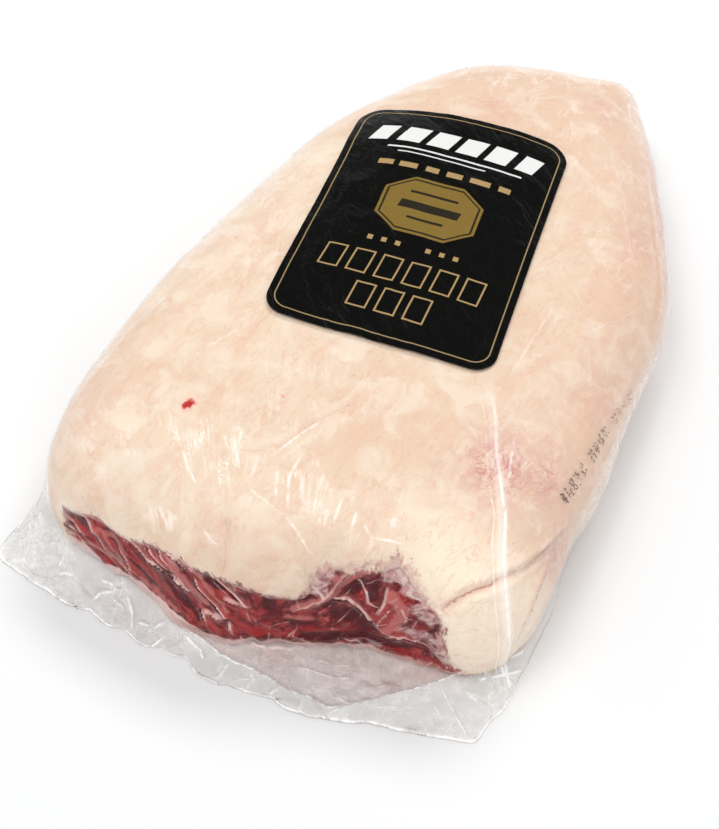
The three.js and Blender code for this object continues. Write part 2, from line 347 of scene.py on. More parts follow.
# What shows on the cut face: bands of a half width and strength along lines of (x, height) points.
FACE = {
    "pale": [
        ([(19, 33), (22, 29), (23, 25), (27, 24), (28, 29)], 0.4, 0.8),
        ([(14, 26.5), (18, 25), (23, 20), (26.5, 13)], 0.35, 0.8),
        ([(26.5, 13), (27, 17.5), (29.5, 25)], 0.4, 0.75),
        ([(26.5, 13), (34, 13.5), (41, 13.5), (47, 10.5)], 0.42, 0.85),
        ([(27, 38.5), (32, 38), (38, 37.5), (43, 35)], 3.4, 1.0),
        ([(33, 34), (40, 32.5)], 2.2, 0.7), ([(8, 31), (11, 28), (13, 29.5)], 0.8, 0.6),
        ([(-7, 30), (-3, 29.5), (2, 28)], 1.2, 0.6), ([(-53, 17.5), (-50, 13.5), (-45.5, 10)], 0.5, 0.5),
        ([(-10, 18.5), (-8.5, 13.5)], 0.8, 0.45), ([(44, 22), (47, 16.5), (48, 12.5)], 1.4, 0.5),
        ([(33, 28), (35, 24), (34, 20)], 0.6, 0.6),
    ],
    "grey": [
        ([(4, 36), (9, 34.5), (9, 31)], 4.0, 0.9), ([(12, 38.5), (20, 40)], 2.6, 0.85),
        ([(38, 29), (42, 28)], 3.2, 0.85), ([(35, 17.5), (45, 18.5)], 3.4, 0.6),
        ([(44, 14.5), (48.5, 9)], 2.6, 0.7), ([(-16, 30), (-13, 27)], 2.2, 0.4),
        ([(-64, 12.5), (-57.5, 10)], 2.0, 0.5), ([(-25.5, 12), (-19, 13)], 2.5, 0.35),
        ([(-46, 30), (-41, 27)], 1.8, 0.3), ([(-30, 22), (-25, 17)], 1.4, 0.35),
    ],
    "pink": [
        ([(4, 21), (9, 24), (13, 29), (17, 34), (20, 37), (24, 39.5)], 1.6, 1.0),
        ([(8, 38), (11, 36), (14, 34)], 1.1, 0.8),
        ([(29.5, 31), (33.5, 27), (32, 19.5), (29.5, 15.5)], 2.2, 0.8),
        ([(-61, 23.5), (-54, 24.5), (-50, 20.5)], 1.4, 0.6),
        ([(-58, 23.5), (-51.5, 15.5), (-45.5, 8.5)], 0.8, 0.7),
        ([(-35, 31), (-29, 25), (-21.5, 18.5)], 1.3, 0.7), ([(-24, 15), (-17.5, 12)], 1.4, 0.6),
        ([(-48.5, 10), (-40, 8), (-31.5, 9)], 1.4, 0.6), ([(1.5, 17.5), (8.5, 16.5)], 1.8, 0.55),
        ([(-69.5, 20.5), (-65.5, 15.5), (-59.5, 12.5)], 0.9, 0.6), ([(45, 24), (46, 15)], 1.6, 0.6),
        ([(-26, 30), (-21, 26), (-15, 18)], 1.0, 0.6), ([(-13, 28), (-10, 21)], 1.0, 0.4),
    ],
    # dark: dark red lean, with painted shadow under the pink strap and along the pleats
    "dark": [
        ([(-67.5, 25.5), (-63, 21.5)], 2.2, 1.0), ([(-62, 20), (-56, 12), (-52, 8)], 2.0, 0.8),
        ([(-56, 25), (-47, 16), (-41, 9)], 1.3, 0.8), ([(-36, 24), (-30, 17), (-24, 9)], 1.3, 0.7),
        ([(-70.5, 15), (-66.5, 8.5)], 1.4, 0.8),
        ([(-45.5, 26), (-36.5, 18.5), (-28, 13)], 2.6, 0.70), ([(-58, 27), (-50, 21.5)], 1.1, 0.7),
        ([(-23, 30), (-17, 27), (-12, 23)], 2.6, 0.9), ([(-19.5, 16), (-14, 12)], 1.6, 0.7),
        ([(-4.5, 28), (-4, 20)], 2.2, 1.0), ([(3, 27), (8, 25)], 2.4, 1.0),
        ([(12, 23), (17, 28), (20, 32)], 2.2, 1.0),
        ([(24, 33), (24, 28)], 2.0, 0.9), ([(15, 19.5), (21, 17.5), (25, 12.5)], 3.2, 1.0),
        ([(25.5, 37.5), (30.5, 41)], 1.8, 1.0), ([(41.5, 20), (44, 25), (44.5, 31)], 0.8, 1.0),
        ([(3, 7.5), (14.5, 7.5), (26.5, 8), (35.5, 8)], 2.2, 1.0), ([(15, 31), (19, 29)], 1.4, 0.9),
        ([(29.5, 12), (33.5, 10.5)], 1.6, 0.8), ([(36.5, 11), (48, 7.5)], 1.0, 0.6),
        ([(2, 14), (9, 12)], 2.0, 0.8), ([(-10, 26), (-8, 20)], 1.0, 0.6),
        ([(-33, 30), (-28, 27)], 0.9, 0.6),
    ],
    "bright": [
        ([(-15, 9), (-6, 8.5), (3, 7.5)], 2.6, 0.9),
        ([(33.5, 5.5), (43.5, 5.5), (49, 4.5), (54, 3)], 1.6, 1.0),
        ([(-21, 20.5), (-13.5, 14.5), (-10.5, 10)], 1.5, 0.8), ([(-58.5, 6.5), (-53.5, 7.5)], 1.6, 0.9),
        ([(-48, 20.5), (-39, 14.5)], 2.0, 0.45), ([(6, 11), (18, 10)], 2.2, 0.5),
        ([(-65.5, 19.5), (-62.5, 16.5)], 1.5, 0.7), ([(-69, 21), (-66, 18)], 1.0, 0.6),
    ],
}


# Pleats drawn across the cut face, with painted light, painted shadow and a painted highlight on them, as (x,
# height) points with how sharp they are.
PLEATS = [
    ([(-72, 17.5), (-68.5, 13.5), (-63.5, 12)], 0.8), ([(-74, 11), (-70, 7.5), (-64.5, 12)], 0.7),
    ([(-69, 30), (-66, 27.5), (-63, 25), (-60, 20.5), (-56.5, 13.5), (-51.5, 8.5), (-47.5, 5)], 1.0),
    ([(-63, 30), (-61, 28), (-60, 26)], 0.7), ([(-53, 22.5), (-50.5, 16.5), (-49, 10.5)], 0.6),
    ([(-51.5, 31), (-45.5, 27), (-40, 24), (-37, 22.5), (-32, 20.5), (-27, 18.5), (-24, 15),
      (-21.5, 6)], 1.0),
    ([(-42.5, 32), (-40.5, 28.5), (-38, 26), (-34.5, 22.5)], 0.7),
    ([(-38, 33), (-36.5, 29), (-34, 27.5), (-29.5, 22), (-25.5, 18.5), (-23, 16)], 0.9),
    ([(-38, 33.5), (-33, 31.5), (-28, 29), (-24, 25), (-18.5, 18.5), (-15.5, 13), (-13.5, 5)], 1.0),
    ([(-31, 33), (-28, 30.5), (-26, 28)], 0.8), ([(-20, 31), (-14, 25), (-8, 17)], 0.9),
    ([(-17, 22.5), (-12.5, 20), (-8, 17)], 0.6), ([(-24, 15), (-20, 14), (-16, 12.5)], 0.7),
    ([(3, 20), (9, 24), (13, 29.5), (16, 35), (21, 38.5)], 0.5),
    ([(13.5, 26.5), (18, 25), (22.5, 19.5), (26.5, 14.5)], 0.8),
    ([(25.5, 16), (30.5, 13.5), (35, 13), (40.5, 15.5)], 0.7),
    ([(27.5, 34), (27.5, 28), (25.5, 21)], 0.6), ([(-72, 24), (-69.5, 20), (-65, 16)], 0.6),
]
# Height below which the pale film margin hides the lean, as (x, height).
LEAN_FOOT = [(-82, 15), (-73, 10.5), (-64, 5.5), (-57, 4.6), (-50, 5.6), (-37, 7.0), (-29, 6.6), (-20, 5.0),
             (-12, 3.7), (20, 4.0), (34, 4.0), (46, 4.6), (54, 4.0)]


def face_mask(p, kind):
    """How strongly one kind of feature shows at points of the cut face, 0 to 1."""
    total = np.zeros(p.shape[:-1])
    wander = 1 + 0.4 * noise(p, 2.6, 91)
    for line, wide, strength in FACE[kind]:
        gap, _ = near_line(p[..., [0, 2]], line)
        total = np.maximum(total, strength * bell(gap, 0, wide * wander))
    return total * smooth(-55, -65, p[..., 1])


def fat_relief(p, edge):
    """How far the fat stands out from the plain form, in mm."""
    h = 0.9 * noise(p, 38, 11) + 0.45 * noise(p, 17, 12) + 0.18 * noise(p, 7, 13) + 0.07 * noise(p, 3.2, 14)
    h += 0.7 * bell(edge, 5, 5) + 0.5 * noise(p, 6, 15) * bell(edge, 3, 4)
    for line, deep, wide, _ in CREASES:
        gap, along = near_line(p, line)
        h += ends(along) * deep * (0.3 * bell(gap, 2.2 * wide, 1.6 * wide) - bell(gap, 0, wide))
    h -= 2.6 * bell(size_of((p - [76, -44, 12]) * [1, 1, 0.6]), 0, 13)      # a dent in the right flank
    for line, step, reach in FOLDS:
        gap, along = near_line(p, line)
        lower = p[..., 2] < np.interp(along, np.linspace(0, 1, len(line)), [q[2] for q in line])
        h += ends(along) * np.where(lower, -step * np.exp(-gap / reach), 0.5 * bell(gap, 0, 2.5))
    return h


def pleat_field(p):
    """Signed distance to the nearest pleat across the cut face, and how strongly it shows."""
    q = p[..., [0, 2]] + 0.25 * noise(p, 6, 44)[..., None]
    gap, shown, lead = nearest_line(q, [(smooth_curve(line, 24), power) for line, power in PLEATS], 0.12)
    apart = smooth(0.5, 1.8, lead)      # no false line half way between neighbours
    return gap, shown * apart * smooth(-62, -70, p[..., 1])


def lean_relief(p):
    """Bundles of lean on the cut face, in mm."""
    x, z = p[..., 0], p[..., 2]
    slant = mix(0.85, 0.25, smooth(-20, 10, x))
    q = np.stack([x + slant * z, 0.25 * (z - 0.4 * x), np.zeros_like(x)], axis=-1)
    h = 0.7 * (1 - 2 * np.abs(noise(q, 6.5, 21))) + 0.35 * (1 - 2 * np.abs(noise(q, 3.0, 22)))
    h += 0.12 * noise(p, 1.8, 23)
    h += 1.1 * face_mask(p, "pink") + 0.5 * face_mask(p, "grey") - 0.8 * face_mask(p, "dark")
    gap, shown = pleat_field(p)
    h += shown * np.where(gap > 0, 1.2 * np.exp(-gap / 2.2), -0.9 * np.exp(gap / 0.9))
    return h - mix(0.6, 1.7, smooth(2, 12, z))


def film_on_meat(p, edge):
    """Height of the clinging film over the plain form, before it bridges hollows."""
    meat = mix(lean_relief(p), fat_relief(p, edge), smooth(-1.5, 1.0, edge))
    return meat + FILM_GAP + 0.12 * noise(p * [1, 1, 0.6], 4.5, 41) * smooth(2, -6, edge)


def beside_rows(h):
    """The heights one row up and one row down, held at the ends."""
    padded = np.pad(h, ((0, 0), (1, 1)), mode="edge")
    return padded[:, :-2], padded[:, 2:]


def bridged(h, reach):
    """The height of a skin that spans every hollow narrower than twice the reach, in grid steps."""
    for pick_one in (np.maximum, np.minimum):
        for _ in range(reach):
            h = pick_one(h, pick_one(np.roll(h, 1, axis=0), np.roll(h, -1, axis=0)))
            h = pick_one(h, pick_one(*beside_rows(h)))
    above, below = beside_rows(h)
    soft = (above + 2 * h + below) / 4
    return np.maximum((np.roll(soft, 1, 0) + 2 * soft + np.roll(soft, -1, 0)) / 4, h - 0.1)


# ---- Mesh making -----------------------------------------------------------------------------
def grid_faces(columns, rows):
    """Quads of a grid that is closed round its columns."""
    i = np.arange(columns)[:, None] * rows
    j = np.roll(i, -1, axis=0)
    k = np.arange(rows - 1)[None, :]
    return np.stack([i + k, i + k + 1, j + k + 1, j + k], axis=-1).reshape(-1, 4)


def fan(columns, rows, row, centre, flip=False):
    """Triangles from one row of the grid to a point in its middle."""
    a = np.arange(columns) * rows + row
    b = np.roll(a, -1)
    c = np.full(columns, centre)
    return np.stack([c, b, a] if flip else [c, a, b], axis=-1)


def with_tips(p, *foot):
    """A grid's points in one list, then one over its middle and one at each height given."""
    return np.vstack([p.reshape(-1, 3)] + [[0, 0, z] for z in (float(p[:, 0, 2].mean()), *foot)])


def closed_faces(columns, rows):
    """A grid closed round its columns and capped at both ends by the two tips after its points."""
    tip = columns * rows
    caps = [fan(columns, rows, 0, tip), fan(columns, rows, rows - 1, tip + 1, flip=True)]
    return [grid_faces(columns, rows), *caps]


def drop_unused(points, blocks, values):
    """Keeps only the points that the faces use."""
    used = np.zeros(len(points), bool)
    for block in blocks:
        used[block.ravel()] = True
    index = np.cumsum(used) - 1
    return points[used], [index[block] for block in blocks], {k: v[used] for k, v in values.items()}


def add_object(name, mesh):
    item = bpy.data.objects.new(name, mesh)
    bpy.context.scene.collection.objects.link(item)
    return item


def add_mesh(name, points, blocks, material, values, node=None):
    """A smooth mesh piece from points in mm and blocks of faces, with named numbers on its points."""
    mesh = bpy.data.meshes.new(name)
    mesh.from_pydata(place(points).tolist(), [], [tuple(row) for block in blocks for row in block.tolist()])
    mesh.polygons.foreach_set("use_smooth", np.ones(len(mesh.polygons), bool))
    for key, numbers in values.items():
        layer = mesh.attributes.new(key, "FLOAT", "POINT")
        layer.data.foreach_set("value", np.asarray(numbers, np.float32).ravel())
    mesh.materials.append(material)
    piece = add_object(name, mesh)
    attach(piece, "root")
    if node:
        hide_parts(node)
    return piece


# ---- Pieces: fat and lean --------------------------------------------------------------------
BLUSH = [
    ((47, -42, 48), 13, 0.95), ((60, -38, 44), 13, 0.75), ((70, -52, 30), 14, 0.7),
    ((73, -10, 36), 26, 0.40), ((68, 58, 40), 15, 0.55), ((40, 114, 39), 8, 0.6),
    ((6, 97, 44), 8, 0.5), ((70, 95, 30), 22, 0.45), ((-18, -86, 42), 8, 0.25),
    ((44, -80, 33), 5, 0.7), ((54, -71, 41), 5, 0.4), ((-80, -60, 34), 16, 0.3),
]


def round_spots(p, spots):
    """The strongest of some soft round spots, each a centre, a reach and a strength."""
    return np.max([strength * bell(size_of(p - at), 0, reach) for at, reach, strength in spots], axis=0)


def zones(p):
    """Blush of the fat and the coloured features of the lean, at points of the meat."""
    side = smooth(50, 66, p[..., 0]) * smooth(30, 60, p[..., 1]) * smooth(36, 30, p[..., 2])
    blush = np.max([round_spots(p, BLUSH), 0.20 * smooth(20, 75, p[..., 0]), 0.8 * side], axis=0)
    creases = [(smooth_curve(line, 14), tint) for line, _, _, tint in CREASES]
    values = {kind: face_mask(p, kind) for kind in FACE}
    values["blush"] = blush
    values["pleat_mm"], values["pleat_on"] = pleat_field(p)
    values["crease_mm"], values["crease_on"] = line_field(p, creases, 2.2, 3.6)
    values["slit_mm"], values["slit_on"] = line_field(p, SLITS, 2.2, 3.6)
    foot = np.interp(p[..., 0], *np.array(LEAN_FOOT, float).T)
    values["foot_mm"] = p[..., 2] - foot + 0.5 * noise(p, 3.5, 93)
    return values


def make_fat(material):
    columns, rows = ((560, 134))
    p = skin(directions(columns, 0.9), np.linspace(0.006, 1, rows))
    edge = edge_distance(p)
    dip = -3.0 * smooth(-1.5, -5.0, edge) - 0.9 * smooth(1.0, -2.0, edge)
    p = p + grid_normals(p) * (fat_relief(p, edge) + dip)[..., None]
    p[..., 2] = np.maximum(p[..., 2], 0.25)
    inner = p[:, -1:] * [0.86, 0.86, 0] + [0, 0, 1.2]
    p = np.concatenate([p, inner], axis=1)
    edge = np.concatenate([edge, edge[:, -1:]], axis=1)
    values = {"edge_mm": np.append(edge.ravel(), DEEP_FAT)}
    quads = grid_faces(columns, rows + 1)
    shown = values["edge_mm"][quads].max(axis=1) > -FAT_OVERLAP
    blocks = [quads[shown], fan(columns, rows + 1, 0, edge.size)]
    points, blocks, values = drop_unused(with_tips(p), blocks, values)
    return add_mesh("fat_layer", points, blocks, material, {**values, **zones(points)}, "fat_cap")


def make_lean(material):
    columns, rows = ((520, 150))
    hidden = rows // 6
    share = np.concatenate([np.linspace(0.02, 0.5, hidden), np.linspace(0.5, 1, rows - hidden + 1)[1:]])
    p = skin(directions(columns, 4.0), share)
    edge = edge_distance(p)
    relief = lean_relief(p)
    sunk = np.minimum(relief, -2.2) - 5.0 * smooth(0.5, 9, edge)
    p = p + grid_normals(p) * mix(relief, sunk, smooth(0, 3, edge))[..., None]
    rings = [p[:, -1:] * [s, s, 0] + [0, 0, 0.3] for s in (0.97, 0.9, 0.8, 0.65, 0.5, 0.3)]
    for ring in rings:
        ring[..., 2] = 0.35 + 0.15 * noise(ring, 9, 31)
    p[..., 2] = np.maximum(p[..., 2], 0.3)
    p = np.concatenate([p] + rings, axis=1)
    edge = np.concatenate([edge, np.full((columns, len(rings)), DEEP_LEAN)], axis=1)
    points = with_tips(p, 0.35)
    values = {"edge_mm": np.append(edge.ravel(), [DEEP_FAT, DEEP_LEAN]), **zones(points)}
    return add_mesh("lean_beef", points, closed_faces(*p.shape[:2]), material, values, "lean_meat")


# ---- Pieces: clear film ----------------------------------------------------------------------
# The long ridge from the label to the front right corner, seen from above: a milky band of folded film with
# bright lines of painted highlight.
RIDGE = [(35, -15), (40, -26), (45, -39), (49, -48), (52, -56), (54, -63), (57, -71), (61, -77), (64, -81),
         (66, -88)]
# Short bright strokes where the film is drawn tight: painted highlights, along the flanks partly the
# whitening of its folds, as lines in space with their strength.
STROKES = [
    ([(-18, -71, 48), (-11, -73, 47), (-4, -75, 46), (1, -78, 44), (8, -82, 39)], 0.8),
    ([(-14, -61, 49), (-9, -52, 50), (-5, -46, 50)], 0.9), ([(14, -74, 45), (14, -67, 47)], 1.0),
    ([(20, -72, 44), (26, -71, 44), (31, -71, 43)], 1.0), ([(3, -73, 46), (2, -66, 48), (2, -60, 49)], 1.0),
    ([(-4, -74, 47), (-7, -65, 49), (-6, -57, 49)], 1.0), ([(-24, -74, 47), (-28, -64, 48)], 0.9),
    ([(-22, -73, 48), (-25.5, -65, 48)], 0.9), ([(-39, -66, 48), (-35, -71, 47), (-31, -75, 47)], 1.0),
    ([(-25, -85, 42), (-19, -88, 41)], 1.0), ([(-17, -69, 48), (-17, -63, 49)], 0.8),
    ([(-37, -60, 49), (-35, -66, 48)], 0.9), ([(-24, -61, 49), (-25, -55, 50)], 0.7),
    ([(-8, -73, 48), (-11, -63, 49)], 0.7), ([(9, -73, 46), (9, -65, 48)], 0.8),
    ([(17, -70, 46), (20, -72, 44)], 1.0), ([(48, -30, 48), (50, -45, 47), (51, -58, 45)], 0.8),
    ([(-80, -60, 36), (-78, -46, 38), (-74, -28, 41), (-66, -14, 44)], 0.6),
    ([(-52, -45, 47), (-44, -30, 49), (-38, -22, 50)], 0.4), ([(40, -20, 50), (47, 20, 48)], 0.35),
    ([(60, 98, 34), (68, 79, 35), (74, 60, 35), (78, 45, 34), (80, 28, 32)], 0.9),
    ([(79, 78, 29), (85, 48, 29), (82, 8, 28), (79, -22, 27), (76, -42, 24)], 0.9),
    ([(84, 62, 24), (84, 20, 24), (80, -12, 23), (77, -34, 20)], 0.7),
    ([(82, 40, 33), (80, 0, 32), (77, -26, 31), (74, -42, 29)], 0.6),
    ([(74, -50, 22), (71, -64, 18), (68, -74, 12)], 0.7),
    ([(52, 118, 42), (60, 104, 41), (66, 88, 41), (70, 72, 40)], 0.5),
    ([(40, 122, 44), (52, 106, 44), (62, 84, 43)], 0.4), ([(64, 30, 44), (70, 44, 42), (76, 60, 38)], 0.4),
    ([(58, 12, 47), (66, 22, 44), (74, 34, 41)], 0.35), ([(62, -8, 46), (70, 4, 43), (77, 14, 37)], 0.4),
    ([(-52, 60, 42), (-40, 84, 42), (-26, 104, 42)], 0.35), ([(46, 96, 43), (57, 74, 43), (66, 44, 43)], 0.4),
]
# Where the film is finely wrinkled, with painted glints along the wrinkles: centre, reach and strength.
GLINTS = [
    ((-38, -62, 48), 10, 0.8), ((-24, -64, 48), 9, 0.9), ((-8, -64, 49), 10, 1.0), ((8, -66, 47), 10, 1.0),
    ((22, -68, 45), 8, 0.9), ((-37, -84, 40), 6, 0.8), ((-24, -82, 44), 7, 0.6), ((-60, -70, 44), 12, 0.5),
    ((50, -40, 47), 12, 0.5), ((-10, -40, 50), 20, 0.35), ((62, -62, 36), 14, 0.5), ((40, 100, 44), 26, 0.35),
    ((70, 50, 40), 20, 0.35), ((-50, 20, 47), 30, 0.25), ((-66, 34, 22), 34, 0.55), ((-84, -30, 18), 26, 0.5),
    ((0, 140, 22), 34, 0.8), ((50, 138, 22), 26, 0.7), ((80, 60, 16), 30, 0.5),
]
FAN_CENTRE = (15, -150)        # the wrinkles spread out from here
# Where the free film is creased, seen from above: the fold between pocket and hem, and short creases, drawn
# as bright lines of painted highlight beside lines of painted shade.
HEM_FOLD = [(-30, -102), (-19.5, -103.5), (-11.5, -105.5), (-2.5, -106), (5, -107), (13, -108), (20.5, -108),
            (29, -103.5), (37.5, -98), (47.5, -91.5), (54, -86.5)]
HEM_CREASES = [
    ([(-78.5, -94), (-74.5, -91.5)], 0.6), ([(-59.5, -103.5), (-57.5, -100), (-53, -97.5), (-50, -97)], 1.0),
    ([(-50, -97), (-46, -102), (-43.5, -107.5)], 0.8), ([(-53, -103), (-48, -102)], 1.0),
    ([(-53.5, -100), (-48, -102)], 1.0), ([(-43.5, -104), (-39, -104)], 1.0),
    ([(-39.5, -106.5), (-36.5, -103), (-33.5, -101.5)], 0.9), ([(-36.5, -110), (-34, -105.5)], 1.0),
    ([(-73, -97.5), (-71, -94)], 0.8), ([(-73.5, -99), (-70, -98), (-66.5, -98.5)], 0.8),
    ([(-89.5, -81.5), (-86, -85), (-83, -85.5), (-79.5, -89)], 0.6), ([(-58.5, -97), (-53.5, -96.5)], 0.7),
    ([(-29, -103.5), (-21.5, -106), (-19.5, -108.5)], 0.8),
    ([(-8, -99.5), (-5.5, -100), (0, -98), (6.5, -96.5)], 1.0),
    ([(-91, -95), (-86, -91.5), (-80.5, -92.5)], 0.5),
    ([(-91, -84), (-86, -89.5), (-80, -96.5), (-72.5, -104.5)], 0.5),
    ([(-76.5, -90), (-67.5, -97.5), (-59.5, -102.5)], 0.4), ([(47.5, -91.5), (55.5, -98.5), (62, -104)], 0.5),
    ([(61.5, -80), (65.5, -83), (70, -85)], 0.8), ([(60, -84), (63.5, -88), (65, -98.5)], 0.5),
    ([(53, -92.5), (66.5, -90)], 0.4), ([(20, -111), (24, -107)], 0.5), ([(-5, -112), (-3, -107)], 0.5),
    ([(58, -88), (64, -84), (72, -78)], 0.9), ([(56, -92), (63, -93), (67, -90)], 0.8),
    ([(64, -80), (68, -76), (72, -70)], 0.8), ([(66, -97), (69, -88), (71, -80)], 0.7),
    ([(2, -111), (5, -108)], 0.6), ([(-14, -112), (-12, -107)], 0.6),
    ([(0, -102), (8, -101), (18, -100.5), (26, -98)], 0.6), ([(8, -98), (18, -97), (28, -94)], 0.5),
    ([(24, -102), (32, -98), (40, -93)], 0.6),
]


def ridge_field(p):
    """Signed distance to the long ridge, seen from above, and how strongly it shows."""
    gap, along = near_line(p[..., :2], smooth_curve(RIDGE, 40), signed=True)
    shown = smooth(0.0, 0.10, along) * mix(0.45, 1.0, smooth(0.2, 0.5, along)) * smooth(1.0, 0.93, along)
    return gap, shown * smooth(2, 8, p[..., 2])


def foot_height(angle):
    """How high above the table the film leaves the meat: higher at the ear, front left."""
    off = np.abs((np.degrees(angle) - 226 + 180) % 360 - 180)
    return mix(mix(13.0, 7.0, frontness(angle)), 20.0, smooth(20, 0, off))


def film_body(angle, rows):
    """The film drawn over the meat: its points and the numbers stored on them."""
    p = skin(angle, np.linspace(0.006, 1, rows) ** 0.9, foot_height(angle))
    edge, off = edge_distance(p), from_front(direction(p))
    spread = p[..., :2] - FAN_CENTRE
    values = {"glint": round_spots(p, GLINTS), "wet": smooth(0.5, -1.5, edge) * frontness(direction(p)),
              "fan_u": 90 * np.arctan2(spread[..., 0], spread[..., 1]), "fan_v": size_of(spread)}
    values["pleat_mm"], values["pleat_on"] = pleat, pleat_on = pleat_field(p)
    values["ridge_mm"], values["ridge_on"] = ridge, ridge_on = ridge_field(p)
    values["stroke_mm"], values["stroke_on"] = line_field(p, STROKES, 2.2, 3.6)
    left = smooth(-38, -44, off) * smooth(-80, -60, off) * smooth(32, 14, p[..., 2])
    right = smooth(56, 66, off) * smooth(140, 110, off) * smooth(33, 27, p[..., 2])
    cloud = 0.28 + 0.14 * noise(p * [0.3, 0.3, 1], 4, 58)
    values["haze"] = np.maximum(0.06 * left, right * cloud)
    lift = bridged(film_on_meat(p, edge), 2)
    lift += 0.4 * pleat_on * bell(pleat, 0, 0.8) + 1.1 * ridge_on * bell(ridge, 0, 1.3)
    return p + grid_normals(p) * lift[..., None], values


def rim_radius(angle, way, inner):
    """How far out the free film ends: a ruffled hem in front, tucked in along the right flank."""
    rim = np.append(way * 100, np.zeros((len(way), 1)), axis=1)
    ruffle = 2.6 * smooth(-62, -50, rim[:, 0]) * smooth(-2, -20, rim[:, 0]) * smooth(0, -50, rim[:, 1])
    outer = film_radius(angle) + 0.9 * noise(rim, 11, 51) + 0.5 * noise(rim, 3.5, 52)
    outer += ruffle * (np.abs(noise(rim, 6.5, 56)) - 0.35)
    side = from_front(angle)
    hug = smooth(50, 64, side) * smooth(150, 130, side)
    return mix(np.maximum(outer, inner + 0.8), inner - 0.8 + 0.5 * noise(rim, 7, 52), hug)


def ring_grid(radius, way, height):
    """Points at some radii and heights along each direction."""
    return np.stack([radius * way[:, :1], radius * way[:, 1:], height], axis=-1)


def crumpled(p, amount, way):
    """Moves the free film by big and small facets, and says where their creases are."""
    flat = p * [1, 1, 0.3]
    coarse, crease = crumple(flat + 3 * noise(flat, 9, 64)[..., None], 14.0, 61, sharp=45)
    small, small_crease = crumple(flat + 40 + noise(flat, 5, 65)[..., None], 6.5, 62, sharp=60)
    p[..., 2] += amount * (2.4 * coarse + 0.9 * small)
    p[..., :2] += (amount * 0.6 * small)[..., None] * way[:, None, :]
    return amount * np.maximum(crease, 0.4 * small_crease)


def down_steps(rows):
    """Shares of the way down a block of rows, without its start."""
    return (np.arange(1, rows + 1) / rows)[None, :]


def plain_hem(angle, way, start, rows):
    """The free film before it crumples: its points, how free each column is and the rim's radius."""
    inner = np.hypot(start[:, 0], start[:, 1])
    outer = rim_radius(angle, way, inner)
    free = smooth(2.5, 9, outer - inner)[:, None]
    t = down_steps(rows)
    rim_z = mix(6.0, 0.75, free)
    middle_z = mix(rim_z, start[:, 2:3], mix(0.45, 0.12, free))
    height = (1 - t) ** 2 * start[:, 2:3] + 2 * t * (1 - t) * middle_z + t ** 2 * rim_z
    return ring_grid(mix(inner[:, None], outer[:, None], t), way, height), free, outer[:, None]


def carried_down(values, rows):
    """The numbers of the body's last row, carried on down the hem, where some fade out."""
    t = np.linspace(0, 1, rows)
    fading = dict.fromkeys(("glint", "wet", "pleat_on"), smooth(0.15, 0, t))
    fading["ridge_on"] = smooth(0.9, 0.5, t)
    keys = ("glint", "wet", "pleat_mm", "pleat_on", "ridge_mm", "ridge_on", "fan_u", "fan_v")
    return {key: values[key][:, -1:] * fading.get(key, np.ones(rows)) for key in keys}


def film_hem(angle, way, body, body_values, rows):
    """The free film round the foot: its points, the numbers on them and the rim's radius."""
    p, free, outer = plain_hem(angle, way, body[:, -1], rows)
    t = down_steps(rows)
    fold, along = near_line(p[..., :2], smooth_curve(HEM_FOLD, 60), signed=True)
    fold_on = ends(along, 0.06) * free
    band = smooth(0.3, -0.6, fold) * smooth(14, 24, p[..., 0]) * smooth(-70, -80, p[..., 1])
    amount = free * smooth(0, 0.25, t) * (1 - 0.85 * band) * mix(1, 0.6, smooth(0.85, 1, t))
    creased = crumpled(p, amount, way)
    p[..., 2] += fold_on * np.where(fold < 0, 1.1 * np.exp(fold / 1.2), -0.5 * np.exp(-fold / 1.5))
    p[..., 2] = np.maximum(p[..., 2], 0.5)
    stain = pocket_stain(p, fold) * mix(0.35, 1.0, smooth(0.75, 0.25, t + 0.15 * noise(p, 6, 57)))
    ear = smooth(-50, -75, p[..., 0]) * smooth(-70, -90, p[..., 1])
    # the creases and the rim are made milky: partly the film's own whiteness, partly painted highlights along
    # them
    rim = smooth(0.93, 0.975, t) * smooth(1.01, 0.97, t)
    haze = 0.07 + 0.16 * creased + 0.16 * band + 0.18 * ear + 0.26 * stain + 0.8 * rim
    haze = mix(0.10, haze, free) * smooth(0, 0.2, t) + body_values["haze"][:, -1:] * (1 - t) ** 4
    values = {**carried_down(body_values, rows), "haze": haze, "stain": stain, "fold_mm": fold,
              "fold_on": fold_on, "loose": free * np.ones_like(t)}
    values["stroke_mm"], values["stroke_on"] = line_field(p[..., :2], HEM_CREASES, 1.4, 2.4)
    return p, values, outer


def pocket_stain(p, fold):
    """Pinkish juice in the film pocket between the cut face and the hem fold."""
    along = smooth(-36, -27, p[..., 0]) * smooth(58, 48, p[..., 0]) * smooth(-60, -75, p[..., 1])
    return along * smooth(-0.1, 0.3, fold) * (0.8 + 0.35 * noise(p, 9, 55))


def film_underside(angle, way, hem, hem_values, outer):
    """The film from the rim back under the meat, flat on the table."""
    t = down_steps(10)
    end = np.minimum(meat_radius(angle)[:, None] - 6, outer - 5)
    p = ring_grid(mix(outer, end, t), way, mix(hem[:, -1:, 2] - 0.3, 0.15, smooth(0, 0.45, t)))
    free = hem_values["loose"][:, -1:]
    p[..., 2] += free * 0.8 * np.abs(crumple(p, 6.0, 63)[0]) * (1 - t)
    p[..., 2] = np.maximum(p[..., 2], 0.12)
    p[:, 1:, 2] = np.minimum(p[:, 1:, 2], 0.7)
    p = np.concatenate([p] + [p[:, -1:] * [s, s, 1] for s in (0.85, 0.65, 0.4)], axis=1)
    return p, {"loose": free * np.ones(p.shape[1])}


FILM_USUAL = {"haze": 0.02, "fan_v": 150.0}       # stored where a part of the film doesn't say


def stacked(blocks, key):
    """One named number over all rows of the film and its two tips."""
    usual = FAR_MM if key.endswith("_mm") else FILM_USUAL.get(key, 0.0)
    parts = [values.get(key, np.full(p.shape[:2], usual)) for p, values in blocks]
    return np.append(np.concatenate(parts, axis=1).ravel(), [usual, usual])


